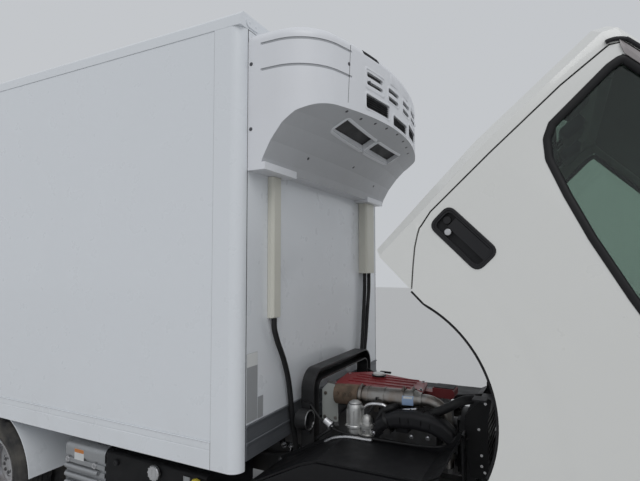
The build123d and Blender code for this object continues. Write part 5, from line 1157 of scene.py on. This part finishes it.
# Controls: stalks, gear and hand levers, and the pedals on their arms
shape = Shape()
for way in (-1, 1):
    cab_pipe(shape, [(565, -400 + way * 30, 1285), (545, -400 + way * 90, 1305),
                     (520, -400 + way * 150, 1315)], 6)
cab_pipe(shape, [(480, -180, 1100), (470, -180, 1200), (445, -185, 1290)], 7, 12)
KNOB = [(0, 10), (10, 20), (30, 24), (42, 18), (47, 2)]
shape.turned((front(445), -185, 1285), (-0.2, 0, 1), KNOB, 24)
GAITER = [(0, 45), (10, 44), (30, 26), (34, 30), (52, 14), (60, 9)]
shape.turned((front(482), -180, 1100), UP, GAITER)
cab_pipe(shape, [(220, -255, 1110), (330, -255, 1150), (420, -255, 1200)], 11, 12)
tilted("cab_levers", shape, "trim_black", "interior_grey")
shape = Shape()
for y, half in ((-560, 30), (-430, 38), (-290, 26)):
    cab_pipe(shape, [(800, y, 1040), (770, y, 940), (720, y, 870)], 7)
    shape.plate(rectangle(front(700), front(712), 835, 905, 5, 3), "y", y - half, y + half)
tilted("pedals", shape, "trim_black", "interior_grey", bevel=3)

# Linings: head lining, rear wall panel, sun visors and mats
shape = Shape().plate(rectangle(front(-300), front(470), -680, 680, 80), "z", 1926, 1934)
shape.plate(rectangle(-740, 740, 1115, 1500, 40), "x", front(-397.5), front(-392.5))
tilted("cab_linings", shape, "lining_grey", "interior_grey", bevel=2)
VISOR = [(470, 1912), (600, 1820), (606, 1828), (476, 1922)]
shape = Shape()
for y in (-400, 400):
    shape.plate(outline_at(front, VISOR, 3), "y", y - 190, y + 190)
tilted("sun_visors", shape, "lining_grey", "interior_grey", bevel=3)
shape = Shape()
for side in (-1, 1):
    outline = rectangle(front(200), front(430), side * 480, side * 770, 30)
    shape.plate(outline, "z", 975.5, 981.5)
    for x in (220 + 22 * k for k in range(9)):
        shape.block((front(x), side * 500, 981), (front(x + 8), side * 750, 983.5))
tilted("floor_mats", shape, "rubber_black", "interior_grey")

# Doors: trim with an armrest, window crank and inner handle; and a belt on each door pillar
TRIM_EDGE = [(-300, 1020), (560, 1020), (560, 1190), (300, 1235), (-150, 1350), (-300, 1400)]
ARMREST_EDGE = [(-180, 1130), (180, 1130), (200, 1160), (-180, 1175)]
BELT_Y = 758
STRAP = [(-372, 1740), (-376, 1500), (-382, 1250), (-384, 1130)]
STRAP_SECTION = [(-2, -20), (0, -20), (0, 20), (-2, 20)]
DOOR_SKIN_Y = CAB_HALF - 40
for name, side in SIDES.items():
    door = f"cab_door_{name}"
    outline = outline_at(front, TRIM_EDGE, 30)
    shape = Shape().plate(outline, "y", side * (DOOR_SKIN_Y - 0.5), side * (DOOR_SKIN_Y - 10))
    shape.plate(outline_at(front, ARMREST_EDGE, 12), "y", side * (DOOR_SKIN_Y - 8), side * (DOOR_SKIN_Y - 48))
    tilted(f"door_trim_{name}", shape, "interior_grey", body=door, bevel=3)
    foot, near, far, tip = (side * (DOOR_SKIN_Y - reach) for reach in (8, 22, 26, 45))
    shape = Shape().rod((front(290), foot, 1090), (front(290), near, 1090), 14)
    cab_pipe(shape, [(290, side * (DOOR_SKIN_Y - 20), 1090), (250, far, 1070), (215, far, 1052)], 6)
    shape.rod((front(215), near, 1052), (front(215), tip, 1052), 9)
    shape.block((front(-20), foot, 1205), (front(80), side * (DOOR_SKIN_Y - 18), 1230))
    tilted(f"door_controls_{name}", shape, "trim_black", "interior_grey", door, bevel=2)
    y = side * BELT_Y
    rows = [[(front(x + dx), y + side * dy, z) for dx, dy in STRAP_SECTION] for x, z in STRAP]
    shape = Shape().grid(rows, True, True)
    shape.block((front(-384), y - 26, 1735), (front(-366), y + 26, 1765))
    tilted(f"belt_{name}", shape, "hose_black", "seat_fabric")

# Refrigeration unit again: painted shade in its grooves and on its underside, frames and slats of its
# openings, screws
GROOVE_START = 74
GROOVE_BEND = 150
SIDE_BEND_R = 245.5
bend = math.asin((UNIT_CORNER[0] - GROOVE_BEND) / SIDE_BEND_R)
line = [(GROOVE_START, UNIT_HALF), (GROOVE_BEND, UNIT_HALF)]
for turn in (bend * k / 12 for k in range(1, 13)):
    line.append((GROOVE_BEND + SIDE_BEND_R * sin(turn), UNIT_HALF - SIDE_BEND_R * (1 - cos(turn))))
line += [(unit_front(y)[0].x - BOX_FRONT, y) for y in (630, 605, 580, 556)]
# Grey strips in the groove floors, tapering along each groove: painted shade in the grooves
shape = Shape()
for side in (-1, 1):
    for drop in (67, 190):
        rows = []
        for i, (x, y) in enumerate(line):
            half = 5.6 - 3 * i / (len(line) - 1)
            outward = Vector((max(x - GROOVE_BEND, 0), y - UNIT_HALF + SIDE_BEND_R)).normalized()
            inner_x, inner_y = Vector((x, y)) - outward * 3
            spot = Vector((ahead(inner_x), UNIT_Y + side * inner_y, UNIT_TOP - drop))
            rows.append([spot + UP * dz for dz in (-half, half)])
        shape.grid(rows)
fixed("unit_groove_painted_shades", shape, "unit_under", "unit_white")

# Grey copies of the unit's downward faces, just proud of them: painted shade under the unit
mesh = frame["nodes"]["cooling_unit"].data
shape = Shape()
for face in mesh.polygons:
    if face.normal.z < -0.12 and UNIT_LOW.z + 20 < face.center.z / MM < UNIT_TOP - 50:
        shape.points += [mesh.vertices[i].co / MM + face.normal * 0.4 for i in face.vertices]
        shape.cap(len(face.vertices))
fixed("unit_underside_painted_shade", shape, "unit_grey", "unit_white", angle=25)


def below_unit(x, y, out=0):
    """A place on the unit's underside, straight above a point below it."""
    place, facing = land("cooling_unit", (x, y, 2000), UP)
    return place + facing * out


OPENINGS = [(-490, -100), (-60, 330)]
OPENING_X = (285, 362)
frames, slats = Shape(), Shape()
for y0, y1 in OPENINGS:
    x0, x1 = (ahead(x) for x in OPENING_X)
    outline = divided(rectangle(x0, x1, UNIT_Y + y0, UNIT_Y + y1, 14, 4), 40)
    band(frames, outline, below_unit, [(-3, 0), (-4, 4.5), (-12, 4.5), (-18, 0.5)])
    for k in range(1, 5):
        x = ahead(OPENING_X[0] + (OPENING_X[1] - OPENING_X[0]) * k / 5)
        spots = [below_unit(x, UNIT_Y + y0 + 10 + (y1 - y0 - 20) * j / 6, -3) for j in range(7)]
        slats.grid([[p + Vector((dx, 0, dz)) for p in spots] for dx, dz in ((-1.5, 0), (4, 6), (5.5, 6))])
fixed("unit_under_frames", frames, "unit_white")
fixed("unit_under_slats", slats, "trim_black", "unit_white")
shape = Shape()
for x, y in ((391, -578), (409, -443), (438, -315), (457, -190), (468, -39), (457, 110),
             (438, 240), (409, 370), (138, -500), (138, 450), (188, -20)):
    shape.screw(*land("cooling_unit", (ahead(x), y, 2000), UP), 8.5)
fixed("unit_under_screws", shape, "screw_dark", "unit_white")

# Rear of the box: door gaskets, hinge bolts and lock gear
LOCK_Y = 90
BAR_X = BOX_REAR - 34
HINGE_BOLTS_Y = (660, 730, 800, 860)


def bolt_field(ends, shares, ys, side, x, size):
    """Bolts on a rear door at shares of its height and distances from the middle."""
    shape = Shape()
    for z in (ends[0] + share * (ends[1] - ends[0]) for share in shares):
        for y in ys:
            shape.bolt((x, side * y, z), REARWARD, size)
    return shape


for name, side in SIDES.items():
    door = f"box_door_{name}"
    door_low, door_high = [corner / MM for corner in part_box(door)]
    corners = [(22, FLOOR_TOP + 14), (870, FLOOR_TOP + 14), (870, BOX_TOP - 92), (22, BOX_TOP - 92)]
    line = [(BOX_REAR + 79, side * y, z) for y, z in rounded(corners, 20)]
    piece(f"box_door_gasket_{name}", Shape().pipe(line + line[:1], 5.5, 8, 1), door, "rubber_black")
    ends = door_low.z + 2, door_high.z + 2
    hinge_bolts = bolt_field(ends, (0.1, 0.39, 0.68, 0.92), HINGE_BOLTS_Y, side, BOX_REAR - 20, 13)
    gear = bolt_field(ends, (0.03, 0.28, 0.62, 0.97), (66, 114), side, BAR_X - 5, 10)
    # height, radius and half length of each collar on the lock bar
    for z, radius, half in ((door_low.z + 30, 21, 14), (door_high.z - 30, 21, 14),
                            (1242.5, 19, 6), (1292.5, 19, 6)):
        gear.turned((BAR_X, side * LOCK_Y, z - half), UP, [(0, radius), (2 * half, radius)], 20)
    gear.pipe([(BAR_X - 14, side * y, 1267.5) for y in (250, 290, 330, 368)], 11, 12)
    piece(f"box_hinge_bolts_{name}", hinge_bolts, door, "bar_steel")
    piece(f"lock_gear_{name}", gear, door, "bar_steel")

# Rear lamps: three round lenses a side with their rims, reflectors, the bare plate, its lamps and bolts
LAMP_Z = 528
LENS = [(0, 34.5), (4, 34), (10, 26), (13, 12), (13.5, 2)]
REFLECTOR = [(0, 32), (4, 32), (7, 26), (8, 2)]
for name, side in SIDES.items():
    rims = Shape()
    for y, look in ((600, "clear_lens"), (690, "amber"), (780, "lamp_red")):
        lens_shape = Shape().turned((BOX_REAR + 10, side * y, LAMP_Z), REARWARD, LENS, 36)
        fixed(f"tail_lens_{name}_{look}", lens_shape, look, "lamp_red")
        rims.ring((BOX_REAR + 15.5, side * y, LAMP_Z), REARWARD, [(0, 35.2), (9, 36), (9, 39), (0, 40)], 40)
    fixed(f"tail_lamp_rims_{name}", rims, "trim_black")
    reflector = Shape().turned((BOX_REAR + 9.5, side * 780, 436), REARWARD, REFLECTOR, 36)
    fixed(f"rear_reflector_{name}", reflector, "lamp_red")
outline = rectangle(-PLATE_HALF, PLATE_HALF, 392, 478, 6)
shape = Shape().plate(outline, "x", BOX_REAR + 6, BOX_REAR + 9.5)
fixed("rear_plate", shape, "label_white", "box_white", bevel=0.8)
bolts, lamps = Shape(), Shape()
for side in (-1, 1):
    bolts.bolt((BOX_REAR + 6, side * BOLT_HALF, 466), REARWARD, 9)
    for z in (510, 560, 610):
        bolts.bolt((BOX_REAR + 9.5, side * 320, z), REARWARD, 14)
    lamps.block((BOX_REAR - 6, side * 150, 482), (BOX_REAR + 30, side * 210, 506))
fixed("rear_bolts", bolts, "bar_steel", "trim_black")
fixed("plate_lamps", lamps, "trim_black", bevel=4)

# Beneath: the spring leaves' clamps, the silencer's cover and bare label, caps and strap of the tank
SPRING_Y = 320
shape = Shape()
for axle_x, low, high in ((FRONT_AXLE, 300, 470), (REAR_AXLE, 260, 500)):
    for y in (-SPRING_Y, SPRING_Y):
        for x in (axle_x - 55, axle_x + 55):
            for leg_y in (y - 40, y + 40):
                shape.rod((x, leg_y, low), (x, leg_y, high), 7, 10)
                shape.bolt((x, leg_y, low + 10), DOWN, 18)
            shape.rod((x, y - 40, high), (x, y + 40, high), 7, 10)
fixed("spring_clamps", shape, "engine_grey")

MUFFLER_REAR, MUFFLER_FRONT = ahead(-1300), ahead(-970)
shape = Shape()
for z in (500, 452, 404):
    shape.pipe([(MUFFLER_REAR + 14, -795, z), (MUFFLER_REAR + 30, -798, z), (MUFFLER_FRONT - 75, -798, z),
                (MUFFLER_FRONT - 59, -795, z)], 16, 14, 2)
fixed("muffler_ribs", shape, "shield_silver", "exhaust_metal")
shape = Shape()
for x in (MUFFLER_REAR + 22, MUFFLER_REAR + 246):
    shape.turned((x, -800, 536), RIGHTWARD, [(0, 17), (3, 17), (4, 10)], 20)
    shape.bolt((x, -803, 536), RIGHTWARD, 14)
fixed("muffler_bolts", shape, "bar_steel", "exhaust_metal")
LABEL_X = MUFFLER_REAR + 78
shape = Shape().plate(rectangle(LABEL_X, LABEL_X + 80, 545, 606, 4), "y", -801.6, -799.5)
fixed("muffler_label", shape, "label_white", "exhaust_metal")
shape = Shape().plate(rectangle(LABEL_X + 1, LABEL_X + 79, 585, 605, 3), "y", -802.2, -801.7)
fixed("muffler_label_field", shape, "label_orange", "exhaust_metal")

CASE_Y = -805
# x from the box's front, height, radius and reach of each cap on the near side
CASE_CAPS = [(-866, 593, 14, 10, "trim_black"), (-579, 598, 34, 22, "bar_steel"),
             (-300, 592, 30, 24, "cap_yellow")]
for number, (x, z, radius, reach, look) in enumerate(CASE_CAPS):
    base = Vector((ahead(x), CASE_Y - reach + 0.5, z))
    shape = Shape().turned(base, RIGHTWARD, [(-14, radius * 1.08), (-1, radius * 1.08), (3, radius),
                                             (4, radius * 0.7), (2, radius * 0.4), (3, 1)], 36)
    for spot in circle(12, radius * 1.06, FORWARD, UP):
        shape.rod(base + spot + LEFTWARD * 12, base + spot + RIGHTWARD, radius * 0.12, 8)
    fixed(f"case_cap_{number + 1}", shape, look, "trim_black")
STRAP_X = ahead(-374)
rows = [[(STRAP_X + dx, CASE_Y - out, z) for z in (406, 616)]
        for out, dx in ((0.2, -22), (3, -20), (3, 20), (0.2, 22))]
fixed("case_strap", Shape().grid(rows), "shield_silver")

# Floor, light and the photograph's view
bpy.ops.mesh.primitive_plane_add(size=60, location=(0, 0, -0.002))
floor = bpy.context.object
floor.name = "floor"
floor_look = Look("floor", (0.56, 0.56, 0.555), 0.9)
floor_look.bump(floor_look.noise(60, detail=5), 0.1, 0.002)
floor.data.materials.append(looks["floor"])

SKY_COLOUR = (0.88, 0.91, 0.95, 1)
SKY_STRENGTH = 0.62
world = bpy.data.worlds.new("sky")
bpy.context.scene.world = world
world.use_nodes = True
backdrop = world.node_tree.nodes["Background"]
backdrop.inputs["Color"].default_value = SKY_COLOUR
backdrop.inputs["Strength"].default_value = SKY_STRENGTH

SUN_POWER = 0.8
SUN_SPREAD = 40
SUN_TURN = (28, 33, -8)
sun_data = bpy.data.lights.new("sun", "SUN")
sun_data.energy = SUN_POWER
sun_data.angle = radians(SUN_SPREAD)
sun = bpy.data.objects.new("sun", sun_data)
sun.rotation_euler = [radians(a) for a in SUN_TURN]
bpy.context.collection.objects.link(sun)

CAMERA_AT = (1.8025, -2.6313, 1.66)
CAMERA_TURN = 27.07
CAMERA_PITCH = 2.865
CAMERA_LENS = 26.63
camera_data = bpy.data.cameras.new("camera")
camera_data.lens = CAMERA_LENS
camera_data.sensor_width = 36
camera = bpy.data.objects.new("camera", camera_data)
camera.location = CAMERA_AT
camera.rotation_euler = (radians(90 + CAMERA_PITCH), 0, radians(CAMERA_TURN))
bpy.context.collection.objects.link(camera)
bpy.context.scene.camera = camera
bpy.context.scene.view_settings.view_transform = "Standard"
